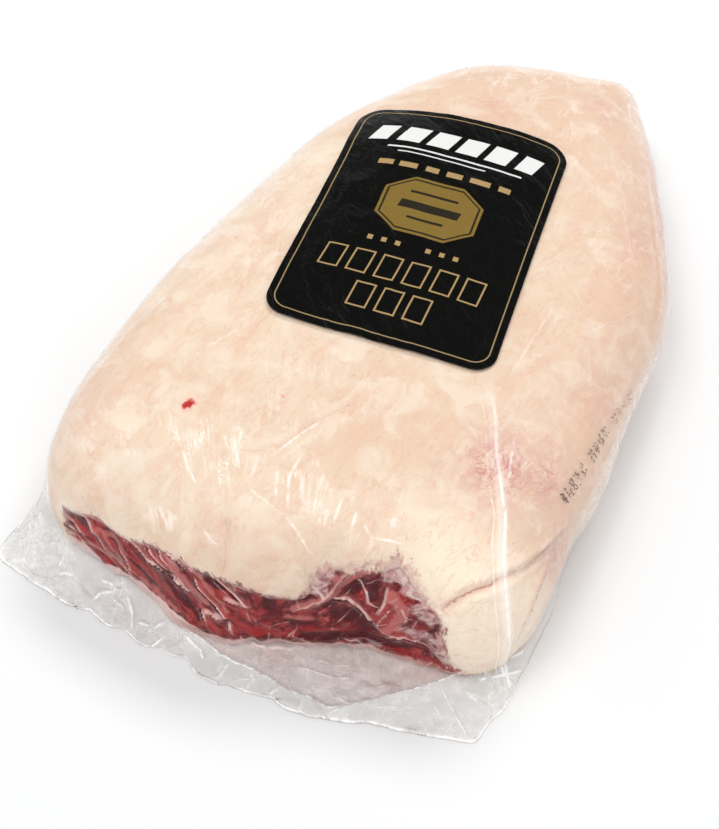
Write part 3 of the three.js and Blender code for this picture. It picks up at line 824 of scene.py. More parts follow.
def make_film(material):
    columns, rows, free_rows = ((640, 84, 34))
    angle = directions(columns, 1.6)
    way = np.stack([np.cos(angle), np.sin(angle)], axis=-1)
    body, body_values = film_body(angle, rows)
    hem, hem_values, outer = film_hem(angle, way, body, body_values, free_rows)
    under, under_values = film_underside(angle, way, hem, hem_values, outer)
    blocks = [(body, body_values), (hem, hem_values), (under, under_values)]
    p = np.concatenate([points for points, _ in blocks], axis=1)
    values = {key: stacked(blocks, key) for key in {**hem_values, **body_values}}
    return add_mesh("clear_film", with_tips(p, 0.12), closed_faces(*p.shape[:2]), material, values,
                    "bag")


# ---- Pieces: label and ink dots --------------------------------------------------------------
def on_top(x, y, lift):
    """Points on the film over the crown, raised by lift."""
    e = 0.5
    n = np.stack([(top_height(x - e, y) - top_height(x + e, y)) / (2 * e),
                  (top_height(x, y - e) - top_height(x, y + e)) / (2 * e), np.ones_like(x)], axis=-1)
    n /= size_of(n)[..., None]
    p = np.stack([x, y, top_height(x, y)], axis=-1)
    return p + n * (film_on_meat(p, edge_distance(p)) + lift)[..., None]


def arched(u, v):
    """The height on the label once the arch of its ends is taken out."""
    arch = 1 - (2 * u / LABEL["width"]) ** 2
    return v - LABEL["arch"] * arch * smooth(-0.1, 1, v / LABEL["side"] + 0.5)


def label_gap(u, v):
    """Distance outside the label's outline (negative inside), in its own flat mm."""
    c = LABEL["corner"]
    a = np.abs(u) - (LABEL["width"] / 2 - c)
    b = np.abs(arched(u, v)) - (LABEL["side"] / 2 - c)
    return np.hypot(np.maximum(a, 0), np.maximum(b, 0)) + np.minimum(np.maximum(a, b), 0) - c


def label_grid(step):
    """A grid over the label, its outermost points drawn onto the outline."""
    w, h = LABEL["width"] + 2, LABEL["side"] + LABEL["arch"] * 2 + 2
    u, v = np.meshgrid(np.arange(-w / 2, w / 2 + step, step), np.arange(-h / 2, h / 2 + step, step),
                       indexing="ij")
    for _ in range(3):
        gap = label_gap(u, v)
        du = (label_gap(u + 0.1, v) - label_gap(u - 0.1, v)) / 0.2
        dv = (label_gap(u, v + 0.1) - label_gap(u, v - 0.1)) / 0.2
        close = (gap > 0) & (gap < 1.2 * step)
        u, v = np.where(close, u - gap * du, u), np.where(close, v - gap * dv, v)
    return u, v


def label_wrinkles(u, v):
    """How far the label stands off the film: folds in its lower left part, and fine unevenness."""
    flat = np.stack([u, v, np.zeros_like(u)], axis=-1)
    folds = (1 - np.abs(noise(np.stack([u + 0.8 * v, 0.35 * (u - v), 0 * u], -1), 5.5, 71))) ** 3
    lower_left = smooth(5, -25, v) * smooth(25, -5, u + 0.2 * v)
    return 0.26 * folds * lower_left + 0.05 * noise(flat, 6, 72) + 0.07 * crumple(flat, 13.0, 73, sharp=14)[0]


def make_label(material):
    u, v = label_grid(0.55)
    turn = math.radians(LABEL["turn"])
    x = LABEL["x"] + u * math.cos(turn) - v * math.sin(turn)
    y = LABEL["y"] + u * math.sin(turn) + v * math.cos(turn)
    top = on_top(x, y, 0.55 + label_wrinkles(u, v))
    grid = np.arange(u.size).reshape(u.shape)
    quads = np.stack([grid[:-1, :-1], grid[1:, :-1], grid[1:, 1:], grid[:-1, 1:]], -1).reshape(-1, 4)
    whole = (label_gap(u, v) < 0.05).ravel()[quads].all(axis=1)
    values = {"print_x": u.ravel(), "print_y": arched(u, v).ravel()}
    points, blocks, values = drop_unused(top.reshape(-1, 3), [quads[whole]], values)
    piece = add_mesh("label_sheet", points, blocks, material, values, "label")
    skirt(piece, 0.35)


def skirt(piece, depth):
    """Turns the piece's open border down, so that its edge has a thickness."""
    shape = bmesh.new()
    shape.from_mesh(piece.data)
    border = [e for e in shape.edges if e.is_boundary]
    made = bmesh.ops.extrude_edge_only(shape, edges=border)["geom"]
    for v in made:
        if isinstance(v, bmesh.types.BMVert):
            v.co.z -= depth * MM
    bmesh.ops.recalc_face_normals(shape, faces=shape.faces)
    shape.to_mesh(piece.data)
    shape.free()


def make_ink(material):
    """Three faint groups of tiny printed dots along the right side, in no readable order."""
    rng = np.random.default_rng(5)
    line = smooth_curve([(66, -40, 38), (69.5, -26, 37), (73, -10, 35), (77, 8, 30)], 100)
    across = np.array([-0.66, 0.12, 0.74])
    dots = []
    for sign in (0, 1, 2, 3, 4, 6, 7, 8, 9, 11, 12, 13, 14):
        shown = 0.46 if sign < 10 else 0.24
        for column in range(4):
            spot = line[int((sign + 0.19 * column) / 15 * 99)]
            for row in range(7):
                if rng.random() < shown:
                    jitter = rng.normal(0, 0.05, 3)
                    dots.append(dot(spot + across * (row - 3) * 0.58 + jitter, 0.20 + 0.06 * rng.random()))
    points = np.concatenate(dots)
    faces = np.arange(len(points)).reshape(len(dots), -1)
    add_mesh("ink_dots", points, [faces], material, {})


def dot(spot, radius):
    """The corners of one flat dot laid on the film nearest to the spot."""
    angle = math.atan2(spot[1], spot[0])
    r, z = (line[0] for line in section(np.array([angle])))
    k = int(np.argmin((r - math.hypot(spot[0], spot[1])) ** 2 + (z - spot[2]) ** 2))
    k = min(max(k, 1), len(r) - 2)
    slope = np.array([r[k + 1] - r[k - 1], z[k + 1] - z[k - 1]])
    slope /= size_of(slope)
    out = np.array([math.cos(angle), math.sin(angle), 0])
    down = out * slope[0] + np.array([0, 0, slope[1]])
    side = np.array([-math.sin(angle), math.cos(angle), 0])
    normal = np.cross(down, side)
    normal *= np.sign(normal @ (out + [0, 0, 0.5]))
    base = np.array([r[k] * out[0], r[k] * out[1], z[k]])
    middle = base + normal * (float(film_on_meat(base[None], edge_distance(base[None]))[0]) + 0.25)
    turns = np.linspace(0, 2 * math.pi, 8, endpoint=False)[:, None]
    return middle + radius * (np.cos(turns) * down + np.sin(turns) * side)


# ---- Colours ---------------------------------------------------------------------------------
TINTS = {
    # fat
    "cream": (0.735, 0.589, 0.447), "warm cream": (0.706, 0.523, 0.388),
    "pale cream": (0.776, 0.647, 0.524),
    # tan: partly the fat's own tan, partly painted shade on the right flank and toward the narrow end
    "light cream": (0.93, 0.795, 0.625), "orange streak": (0.711, 0.467, 0.338), "tan": (0.685, 0.480, 0.345),
    "fat vein": (0.660, 0.366, 0.270), "blush": (0.605, 0.311, 0.284), "blush vein": (0.484, 0.156, 0.162),
    # the crease colours are painted shade in and beside the fat's creases; the slit colour is painted shade
    # of narrow gaps, in the lean's dark red
    "fat grain": (0.800, 0.686, 0.576), "thin fat": (0.60, 0.34, 0.31), "crease halo": (0.76, 0.42, 0.31),
    "crease": (0.47, 0.17, 0.125), "slit": (0.17, 0.014, 0.016), "blood": (0.44, 0.03, 0.025),
    "blood halo": (0.80, 0.48, 0.37), "pink spot": (0.80, 0.47, 0.385), "brown spot": (0.70, 0.34, 0.24),
    # lean
    "deep red": (0.117, 0.008, 0.012), "bundle red": (0.315, 0.030, 0.030), "wet red": (0.333, 0.017, 0.020),
    "light thread": (0.486, 0.115, 0.106), "dark thread": (0.090, 0.011, 0.015),
    "cloudy red": (0.423, 0.120, 0.115), "pink bundle": (0.504, 0.156, 0.143),
    # hollow: dark red lean, partly painted shadow under the pink strap and along the pleats
    "hollow": (0.072, 0.006, 0.010), "grey skin": (0.324, 0.147, 0.156), "light skin": (0.621, 0.451, 0.428),
    "membrane": (0.783, 0.681, 0.626), "membrane shade": (0.540, 0.304, 0.285),
    # the fleck colour is painted glints of the wet film on the lean
    "strand": (0.666, 0.423, 0.377), "fleck": (0.648, 0.386, 0.350),
    # the pleat colours are painted light on the lip, painted shadow below and a painted highlight on the
    # crest
    "pleat light": (0.56, 0.16, 0.145), "pleat dark": (0.06, 0.006, 0.009), "pleat crest": (0.84, 0.54, 0.49),
    "pale margin": (0.77, 0.555, 0.525), "red margin": (0.62, 0.25, 0.215),
    # film: what it lets through, its milky parts and its shadow
    "tight film": (0.98, 0.98, 0.98), "loose film": (0.947, 0.941, 0.933), "juice": (0.672, 0.537, 0.507),
    # the pocket streak colour is a painted reflection of the pocket's folds; the fold and stroke shades are
    # painted shade lines
    "juice streak": (0.62, 0.54, 0.53), "fold shade": (0.66, 0.60, 0.59), "stroke shade": (0.60, 0.53, 0.52),
    "warm milk": (0.985, 0.945, 0.90), "cool milk": (0.93, 0.925, 0.92), "juice milk": (0.70, 0.52, 0.485),
    "film shadow": (0.965, 0.965, 0.965), "haze shadow": (0.72, 0.70, 0.69),
    "loose shadow": (0.92, 0.916, 0.912),
    # label, ink and floor
    "black": (0.0025, 0.0025, 0.0025), "worn black": (0.006, 0.006, 0.0055),
    "white print": (0.64, 0.64, 0.625), "gold print": (0.40, 0.27, 0.12), "keyline gold": (0.36, 0.26, 0.13),
    "dark brass": (0.155, 0.098, 0.021), "brass": (0.21, 0.138, 0.034), "plaque print": (0.022, 0.018, 0.012),
    "ink": (0.025, 0.02, 0.018), "faded ink": (0.11, 0.085, 0.075), "paper": (0.720, 0.727, 0.732),
    "light paper": (0.735, 0.742, 0.747),
}


# ---- Node helpers ----------------------------------------------------------------------------
class Field:
    """A number or colour worked out by nodes, so that sums of them read like sums."""

    def __init__(self, tree, socket):
        self.tree, self.socket = tree, socket

    def __add__(self, other):
        return maths("ADD", self, other)

    def __sub__(self, other):
        return maths("SUBTRACT", self, other)

    def __mul__(self, other):
        return maths("MULTIPLY", self, other)

    def __truediv__(self, other):
        return maths("DIVIDE", self, other)

    def __abs__(self):
        return maths("ABSOLUTE", self)

    def most(self, other):
        return maths("MAXIMUM", self, other)

    def least(self, other):
        return maths("MINIMUM", self, other)

    def clipped(self):
        """The last sum, held between 0 and 1."""
        self.socket.node.use_clamp = True
        return self

    def ramp(self, low, high, to_low=0.0, to_high=1.0):
        """A smooth step from low to high."""
        inputs = {"Value": self, "From Min": low, "From Max": high, "To Min": to_low, "To Max": to_high}
        n = add(self.tree, "ShaderNodeMapRange", inputs, interpolation_type="SMOOTHSTEP")
        return Field(self.tree, n.outputs["Result"])

    def line(self, half, edge):
        """1 within half of a line, fading over edge, from the distance to it."""
        return abs(self).ramp(half + edge, max(half - edge, 0.0))


def plug(tree, socket, value):
    """Feeds a socket with a field, with a node's output or with a plain value."""
    value = getattr(value, "socket", value)
    if isinstance(value, bpy.types.NodeSocket):
        tree.links.new(value, socket)
    else:
        socket.default_value = (*value, 1) if socket.type == "RGBA" else value


def add(tree, kind, inputs=None, **settings):
    n = tree.nodes.new(kind)
    for key, value in settings.items():
        setattr(n, key, value)
    for key, value in (inputs or {}).items():
        plug(tree, n.inputs[key], value)
    return n


def maths(operation, a, b=0.0):
    tree = a.tree if isinstance(a, Field) else b.tree
    return Field(tree, add(tree, "ShaderNodeMath", {0: a, 1: b}, operation=operation).outputs[0])


def pick(share, a, b):
    """The number a, or b where share is 1."""
    return Field(share.tree, add(share.tree, "ShaderNodeMix", {0: share, 2: a, 3: b}).outputs[0])


def coats(colour, *layers):
    """Colours, by name or worked out, laid over one another, each with the share that it covers."""
    for share, tint in layers:
        n = add(share.tree, "ShaderNodeMix", data_type="RGBA")
        for key, value in ((0, share), (6, colour), (7, tint)):
            plug(share.tree, n.inputs[key], TINTS[value] if isinstance(value, str) else value)
        colour = Field(share.tree, n.outputs[2])
    return colour


def attribute(tree, name):
    return Field(tree, add(tree, "ShaderNodeAttribute", attribute_name=name).outputs["Fac"])


def position(tree, scale=(1000, 1000, 1000), turn=None):
    """Object coordinates in mm, turned and then stretched."""
    where = add(tree, "ShaderNodeTexCoord").outputs["Object"]
    if turn:
        where = add(tree, "ShaderNodeMapping", {"Vector": where, "Rotation": turn}).outputs["Vector"]
    return Field(tree, add(tree, "ShaderNodeMapping", {"Vector": where, "Scale": scale}).outputs["Vector"])


def plan_axes(tree):
    """X and Y in mm in the plan's own axes."""
    axes = add(tree, "ShaderNodeSeparateXYZ", {0: position(tree)}).outputs
    return [Field(tree, axes[i]) - float(SHIFT[i]) for i in (0, 1)]


def vectors(operation, a, b, result="Vector"):
    n = add(a.tree, "ShaderNodeVectorMath", {0: a, 1: b}, operation=operation)
    return Field(a.tree, n.outputs[result])


def fine_noise(where, scale, detail=3.0, rough=0.5, distortion=0.0, result="Fac"):
    n = add(where.tree, "ShaderNodeTexNoise", {"Vector": where, "Scale": scale, "Detail": detail,
                                               "Roughness": rough, "Distortion": distortion})
    return Field(where.tree, n.outputs[result])


def cell_edges(where, scale):
    """Distance to the borders of random cells."""
    n = add(where.tree, "ShaderNodeTexVoronoi", {"Vector": where, "Scale": scale}, feature="DISTANCE_TO_EDGE")
    return Field(where.tree, n.outputs["Distance"])


def bump(height, strength, distance):
    inputs = {"Height": height, "Strength": strength, "Distance": distance}
    return add(height.tree, "ShaderNodeBump", inputs).outputs["Normal"]


def start_group(name, inputs):
    """A shared effect and its inputs, which are numbers unless they start as three."""
    tree = bpy.data.node_groups.new(name, "ShaderNodeTree")
    for label, value in inputs.items():
        kind = "NodeSocketVector" if isinstance(value, tuple) else "NodeSocketFloat"
        tree.interface.new_socket(label, in_out="INPUT", socket_type=kind).default_value = value
    given = tree.nodes.new("NodeGroupInput")
    return tree, {label: Field(tree, given.outputs[label]) for label in inputs}


def end_group(tree, outputs):
    """Gives a shared effect its outputs: a colour under the name Colour, numbers under others."""
    for label in outputs:
        kind = "NodeSocketColor" if label == "Colour" else "NodeSocketFloat"
        tree.interface.new_socket(label, in_out="OUTPUT", socket_type=kind)
    out = tree.nodes.new("NodeGroupOutput")
    for label, value in outputs.items():
        plug(tree, out.inputs[label], value)
    return tree


def use_group(tree, group, inputs=None):
    """Puts a shared effect to work: its outputs by name."""
    n = add(tree, "ShaderNodeGroup", node_tree=group)
    for key, value in (inputs or {}).items():
        plug(tree, n.inputs[key], value)
    return {out.name: Field(tree, out) for out in n.outputs}


def start_material(name):
    material = bpy.data.materials.new(name)
    material.use_nodes = True
    material.node_tree.nodes.clear()
    return material, material.node_tree


def principled(tree, colour, rough, inputs):
    sockets = {"Base Color": colour, "Roughness": rough, **inputs}
    return add(tree, "ShaderNodeBsdfPrincipled", sockets).outputs[0]


def mixed(tree, share, a, b):
    """Shader a, or b where share is 1."""
    return add(tree, "ShaderNodeMixShader", {0: share, 1: a, 2: b}).outputs[0]


def end_material(material, shader):
    tree = material.node_tree
    add(tree, "ShaderNodeOutputMaterial", {"Surface": shader})
    return material


# ---- Shared effects --------------------------------------------------------------------------
KINDS = ("Pale", "Grey", "Pink", "Dark", "Bright")


def fat_colour_group():
    """Cream fat with broad warm patches, fine orange streaks, a pink blush, and a tan that is partly painted
    shade on the right flank and toward the narrow end.
    """
    tree, given = start_group("fat colour", {"Blush": 0.0})
    mm, (x, y) = position(tree), plan_axes(tree)
    drawn = position(tree, (380, 1000, 850), (0, 0, -1.25))
    broad = fine_noise(mm, 0.022, 3, 0.55, 0.4).ramp(0.36, 0.64)
    patch = fine_noise(mm, 0.085, 4, 0.62, 0.9).ramp(0.42, 0.64)
    warm = fine_noise(drawn, 0.11, 4, 0.62, 0.9).ramp(0.46, 0.72)
    vein = abs(fine_noise(drawn, 0.17, 4, 0.58, 1.4) - 0.52).ramp(0.024, 0.0)
    grain = fine_noise(mm, 0.9, 4, 0.65)
    # the tan here is partly painted shade: darker on the right flank, less so toward the front, and toward
    # the narrow end
    beside = x.ramp(30, 75) * y.ramp(-10, 45, 0.62, 1.0)
    tanned_and_shaded = (beside.most(y.ramp(50, 125, 0, 0.85)) * patch.ramp(0.1, 0.8, 1.1, 0.5)).clipped()
    lobe = x.ramp(15, 42) * y.ramp(-55, -75)
    blush = given["Blush"]
    blotch = fine_noise(mm, 0.17, 5, 0.68, 1.2).ramp(0.36, 0.62)
    branch = abs(fine_noise(mm, 0.11, 5, 0.66, 2.2) - 0.5).ramp(0.040, 0.0) * blush.ramp(0.45, 0.9)
    colour = coats(
        "cream", (broad, "warm cream"), (patch * 0.8, "pale cream"), (warm * 0.60, "orange streak"),
        (tanned_and_shaded, "tan"), (lobe * 0.85, "light cream"), (vein * patch.ramp(0.2, 0.9, 0.42, 0.06), "fat vein"),
        ((blush * (blotch * 0.9)).clipped(), "blush"), (branch * 0.75, "blush vein"),
        (grain.ramp(0.52, 0.78, 0.0, 0.22), "fat grain"))
    return end_group(tree, {"Colour": colour, "Height": grain * 0.4 + fine_noise(mm, 0.28, 3)})


def lean_colour_group():
    """Dark and mid red fibres, with masks for pale membranes, pink bundles, dark hollows that are partly
    painted shadow, and wet red, and pale flecks that are painted glints.
    """
    tree, given = start_group("lean colour", dict.fromkeys(KINDS, 0.0))
    mm, side = position(tree), plan_axes(tree)[0].ramp(-12, 0)
    left = position(tree, (1000, 1000, 240), (0, 0.80, 0))
    right = position(tree, (1000, 1000, 300), (0, -0.75, 0))
    bundle = pick(side, fine_noise(left, 0.24, 4, 0.6, 0.6), fine_noise(right, 0.20, 4, 0.6, 0.8))
    thread = pick(side, fine_noise(left, 0.95, 4, 0.65, 0.4), fine_noise(right, 0.80, 4, 0.65, 0.5))
    cloud = fine_noise(mm, 0.16, 4, 0.62, 0.8)
    ragged = (fine_noise(mm, 0.55, 4, 0.7, 0.6) - 0.5) * 0.56
    grey = coats("grey skin", (thread.ramp(0.40, 0.62), "light skin"))
    pale = coats("membrane shade", (fine_noise(mm, 0.42, 4, 0.65, 0.8).ramp(0.40, 0.62), "membrane"))
    # Dark, in the hollow colour, is dark red lean and partly painted shadow under the strap and along the
    # pleats
    marks = (("Dark", 0.95, "hollow"), ("Bright", 0.76, "wet red"), ("Pink", 0.72, "pink bundle"),
             ("Grey", 0.85, grey), ("Pale", 0.80, pale))
    strand = cell_edges(right, 0.13).ramp(0.030, 0.0) * cloud.ramp(0.45, 0.60, 0, 0.7) * side
    # pale flecks: painted glints of the wet film
    fleck = fine_noise(mm, 1.3, 3, 0.6).ramp(0.66, 0.72, 0, 0.6)
    colour = coats(
        "deep red", (bundle.ramp(0.43, 0.60), "bundle red"),
        (thread.ramp(0.52, 0.70, 0, 0.6), "light thread"), (cloud.ramp(0.54, 0.70, 0, 0.3), "cloudy red"),
        (thread.ramp(0.44, 0.32, 0, 0.6), "dark thread"),
        *(((given[kind] + ragged).ramp(0.30, 0.62, 0, share), tint) for kind, share, tint in marks),
        (strand, "strand"), (fleck, "fleck"))
    return end_group(tree, {"Colour": colour, "Height": thread + bundle})


def pleat_group():
    """A painted lit lip above a pleat, a painted highlight on its crest and a painted shadow line below it,
    from the signed distance to it.
    """
    tree, given = start_group("pleat shade", {"Gap": 9.0, "Power": 0.0})
    gap, power = given["Gap"], given["Power"]
    masks = {"Light": gap.ramp(2.6, 0.4) * gap.ramp(-0.1, 0.1), "Crest": (gap - 0.35).line(0.42, 0.2),
             "Dark": gap.ramp(-3.2, -0.5) * gap.ramp(0.05, -0.15)}
    return end_group(tree, {key: (mask * power).clipped() for key, mask in masks.items()})


def edge_group():
    """How much lean shows across the frayed lower edge of the fat, softer where the fat is thin."""
    tree, given = start_group("frayed fat edge", {"Edge": 0.0, "Soft": 0.0})
    fray = fine_noise(position(tree, (1000, 1000, 300)), 0.42, 4, 0.68, 0.4) - 0.5
    tuft = fine_noise(position(tree, (1300, 1300, 330)), 0.72, 2, 0.5, 0.4) - 0.5
    total = given["Edge"] + (fray * 9.0 + tuft * 5.5)
    patchy = fine_noise(position(tree), 0.22, 3, 0.6).ramp(0.40, 0.62, 0.15, 0.85)
    lean = (total / (given["Soft"] * 2.6 + 0.7)).ramp(1.0, -1.0)
    return end_group(tree, {"Lean": lean, "Thin": total.ramp(-3.4, -0.2) * patchy})


def spot_group():
    """A small ragged spot round a point given in mm."""
    tree, given = start_group("blood spot", {"Centre": (0, 0, 0), "Radius": 2.0, "Ragged": 0.0})
    gap = vectors("DISTANCE", position(tree), given["Centre"], "Value")
    return end_group(tree, {"Mask": (gap / given["Radius"] + given["Ragged"]).ramp(1.05, 0.45)})


def wrinkle_group():
    """Fine wrinkles that spread in a fan from the front edge: bright lines, which are painted glints, and
    their height.
    """
    tree, given = start_group("film wrinkles", {"Across": 0.0, "Along": 0.0})
    fan_axes = add(tree, "ShaderNodeCombineXYZ", {"X": given["Across"], "Y": given["Along"] * 0.11})
    where = Field(tree, fan_axes.outputs["Vector"])
    wave = fine_noise(where, 0.30, 3, 0.5, 0.5)
    crest = abs(wave - 0.5)
    fine_crest = abs(fine_noise(where, 0.62, 2, 0.5, 0.3) - 0.5)
    broken = fine_noise(position(tree), 0.13, 2, 0.5).ramp(0.46, 0.60)
    lines = crest.ramp(0.038, 0.004).most(fine_crest.ramp(0.045, 0.0, 0, 0.7))
    return end_group(tree, {"Lines": lines * broken, "Height": crest.ramp(0.10, 0.0) * broken + wave * 0.8})


def crinkle_group():
    """Straight creases of crumpled free film, in two sizes and broken: bright lines, partly the film's
    whitening and partly painted highlights, and their height.
    """
    tree, _ = start_group("film crinkles", {})
    mm = position(tree, (1000, 1000, 400))
    where = vectors("ADD", mm, vectors("MULTIPLY", fine_noise(mm, 0.09, 2, result="Color"), (9, 9, 9)))
    big, small = cell_edges(where, 0.095), cell_edges(where, 0.24)
    broken = fine_noise(mm, 0.12, 2, 0.5).ramp(0.46, 0.60)
    crushed = broken.ramp(0.2, 1.0)
    lines = (big.ramp(0.022, 0.004) * broken).most(small.ramp(0.034, 0.008, 0, 0.6) * (broken * crushed))
    height = big.ramp(0.16, 0.0) + small.ramp(0.20, 0.0, 0, 0.45) * crushed
    return end_group(tree, {"Lines": lines, "Height": height})


# ---- Materials: meat -------------------------------------------------------------------------
# Small spots on the fat: where, how wide and in which colour.
BLOOD = [
    ((-43, -53, 49), 3.2, "blood halo"), ((-43, -53, 49), 2.0, "blood"), ((44, -58, 48), 1.1, "pink spot"),
    ((-18, -41, 50), 1.1, "brown spot"),
]


def meat_material(name, groups):
    """Fat above and lean below the frayed edge. Both pieces share it, so the edge runs on."""
    material, tree = start_material(name)
    fat = use_group(tree, groups["fat"], {"Blush": attribute(tree, "blush")})
    lean = use_group(tree, groups["lean"], {kind: attribute(tree, kind.lower()) for kind in KINDS})
    soft = attribute(tree, "grey").most(attribute(tree, "pale"))
    edge = use_group(tree, groups["edge"], {"Edge": attribute(tree, "edge_mm"), "Soft": soft})
    cream = creased_fat(tree, groups, fat["Colour"])
    red = coats(pleated_lean(tree, groups, lean["Colour"]), (edge["Thin"], "thin fat"))
    covers = []
    for colour, height, rough in ((cream, fat["Height"], 0.52), (red, lean["Height"], 0.34)):
        inputs = {"Normal": bump(height, 0.30, 0.0006), "Specular IOR Level": 0.12}
        covers.append(principled(tree, colour, rough, inputs))
    return end_material(material, mixed(tree, edge["Lean"], *covers))


def creased_fat(tree, groups, colour):
    """Blood spots, creases darkened brown with painted shade, and dark slits of painted shade, over the fat's
    colour.
    """
    mm = position(tree)
    ragged = (fine_noise(mm, 0.42, 3, 0.6, 0.3) - 0.5) * 2.6
    for centre, radius, tint in BLOOD:
        where = tuple(float(v) for v in (np.array(centre) + SHIFT))
        spot = use_group(tree, groups["spot"], {"Centre": where, "Radius": radius, "Ragged": ragged})
        colour = coats(colour, (spot["Mask"], tint))
    # the crease's halo and core are painted shade beside and in the crease
    shown = attribute(tree, "crease_on")
    crease = abs(attribute(tree, "crease_mm")) / shown.most(1.0)
    wander = fine_noise(mm, 0.5, 3) * 0.5
    halo = crease.ramp(2.6, 0.2, 0, 0.45) * shown.least(0.8)
    core = (crease + wander).ramp(0.74, 0.34, 0, 0.8) * shown
    # the slit is painted shade of a narrow gap
    slit = abs(attribute(tree, "slit_mm")) + wander * 1.4
    return coats(colour, (halo, "crease halo"), (core, "crease"),
                 (slit.ramp(1.9, 1.2) * attribute(tree, "slit_on"), "slit"))


def pleated_lean(tree, groups, colour):
    """Pleats across the cut face in painted light, shadow and highlight, and the pale margin at its foot,
    over the lean's colour.
    """
    pleat = use_group(tree, groups["pleat"], {"Gap": attribute(tree, "pleat_mm"),
                                              "Power": attribute(tree, "pleat_on")})
    # noise that breaks up the painted highlight on the pleat crest
    uneven = fine_noise(position(tree), 0.35, 3, 0.6).ramp(0.36, 0.58, 0.45, 1.0)
    pale = coats("pale margin", (plan_axes(tree)[0].ramp(12, 46), "red margin"))
    return coats(colour, (pleat["Light"] * 0.55, "pleat light"), (pleat["Dark"] * 0.75, "pleat dark"),
                 (pleat["Crest"] * uneven, "pleat crest"),
                 (attribute(tree, "foot_mm").ramp(0.4, -0.5, 0, 0.9), pale))


# ---- Materials: film -------------------------------------------------------------------------
FILM_NUMBERS = ("haze", "loose", "wet", "glint", "stain", "fan_u", "fan_v", "pleat_mm", "pleat_on",
                "ridge_mm", "ridge_on", "stroke_mm", "stroke_on", "fold_mm", "fold_on")


def film_height(tree, at, wrinkles, crinkles):
    """Height of the film's wrinkles, strokes, pleats and crinkles, for the bump."""
    ripple = fine_noise(position(tree), 0.16, 3, 0.6, 1.0)
    return (wrinkles["Height"] * (at["glint"] * 0.3) + at["stroke_mm"].ramp(0.9, 0.0) * at["stroke_on"]
            + abs(at["pleat_mm"]).ramp(0.8, 0.0) * at["pleat_on"] * 0.4
            + crinkles["Height"] * (at["loose"] * 0.6) + ripple * 0.5)


def film_tint(at, reflection_streaks):
    """What the film takes from the light that goes through it, with painted shade lines beside its fold and
    creases and painted reflection streaks in the pocket.
    """
    stain, stroke = at["stain"], at["stroke_mm"]
    # the fold and stroke shades are painted shadow lines beside the fold and creases
    shade = (at["fold_mm"] - 0.6).line(0.5, 0.35) * at["fold_on"] * 0.8
    below = (stroke - 0.7).line(0.45, 0.4) * at["stroke_on"]
    below = below * at["loose"].ramp(0, 1, 0, stain.ramp(0, 1, 0.3, 0.9))
    return coats("tight film", (at["loose"], "loose film"), (stain, "juice"), (shade, "fold shade"),
                 (stain * reflection_streaks.ramp(0.50, 0.40, 0, 0.8), "juice streak"), (below, "stroke shade"))


def milky_share(tree, at, reflection_streaks, wrinkles, crinkles):
    """How milky the film is: its haze, and bright marks where it is drawn, folded or crumpled, which are
    painted highlights, partly the film's own whitening.
    """
    mm = position(tree)
    patchy = fine_noise(mm, 0.25, 2, 0.6).ramp(0.35, 0.6, 0.3, 1.0)
    swayed = at["ridge_mm"] + (fine_noise(mm, 0.045, 2, 0.5) - 0.5) * 2.4
    share = (at["haze"] * fine_noise(mm, 0.3, 2, 0.6).ramp(0.3, 0.7, 0.55, 1.25)).clipped()
    # the wrinkle lines, strokes and the pleat and fold lines are painted highlights, the crinkles partly
    # whitening and partly painted highlights, the ridge a milky band with painted highlight lines, and the
    # pocket streaks painted reflections
    marks = [
        at["stain"] * reflection_streaks.ramp(0.53, 0.60, 0, 0.35),
        wrinkles["Lines"] * 0.55 * (at["glint"] - at["wet"]).clipped(),
        at["stroke_mm"].line(0.34, 0.45) * at["stroke_on"] * patchy * pick(at["loose"], 0.62, 1.0),
        at["pleat_mm"].line(0.20, 0.16) * at["pleat_on"] * patchy * 0.2,
        crinkles["Lines"] * 0.42 * at["loose"],
        (at["fold_mm"] + 0.3).line(0.3, 0.2) * at["fold_on"] * patchy * 0.8,
        at["ridge_mm"].line(1.5, 0.7) * at["ridge_on"] * 0.32,
        (swayed - 0.3).line(0.50, 0.30) * at["ridge_on"] * patchy.ramp(0.3, 0.8, 0.55, 0.9),
        (swayed + 2.5).line(0.20, 0.16) * at["ridge_on"] * 0.55 * patchy,
    ]
    for mark in marks:
        share = share.most(mark).clipped()
    return share


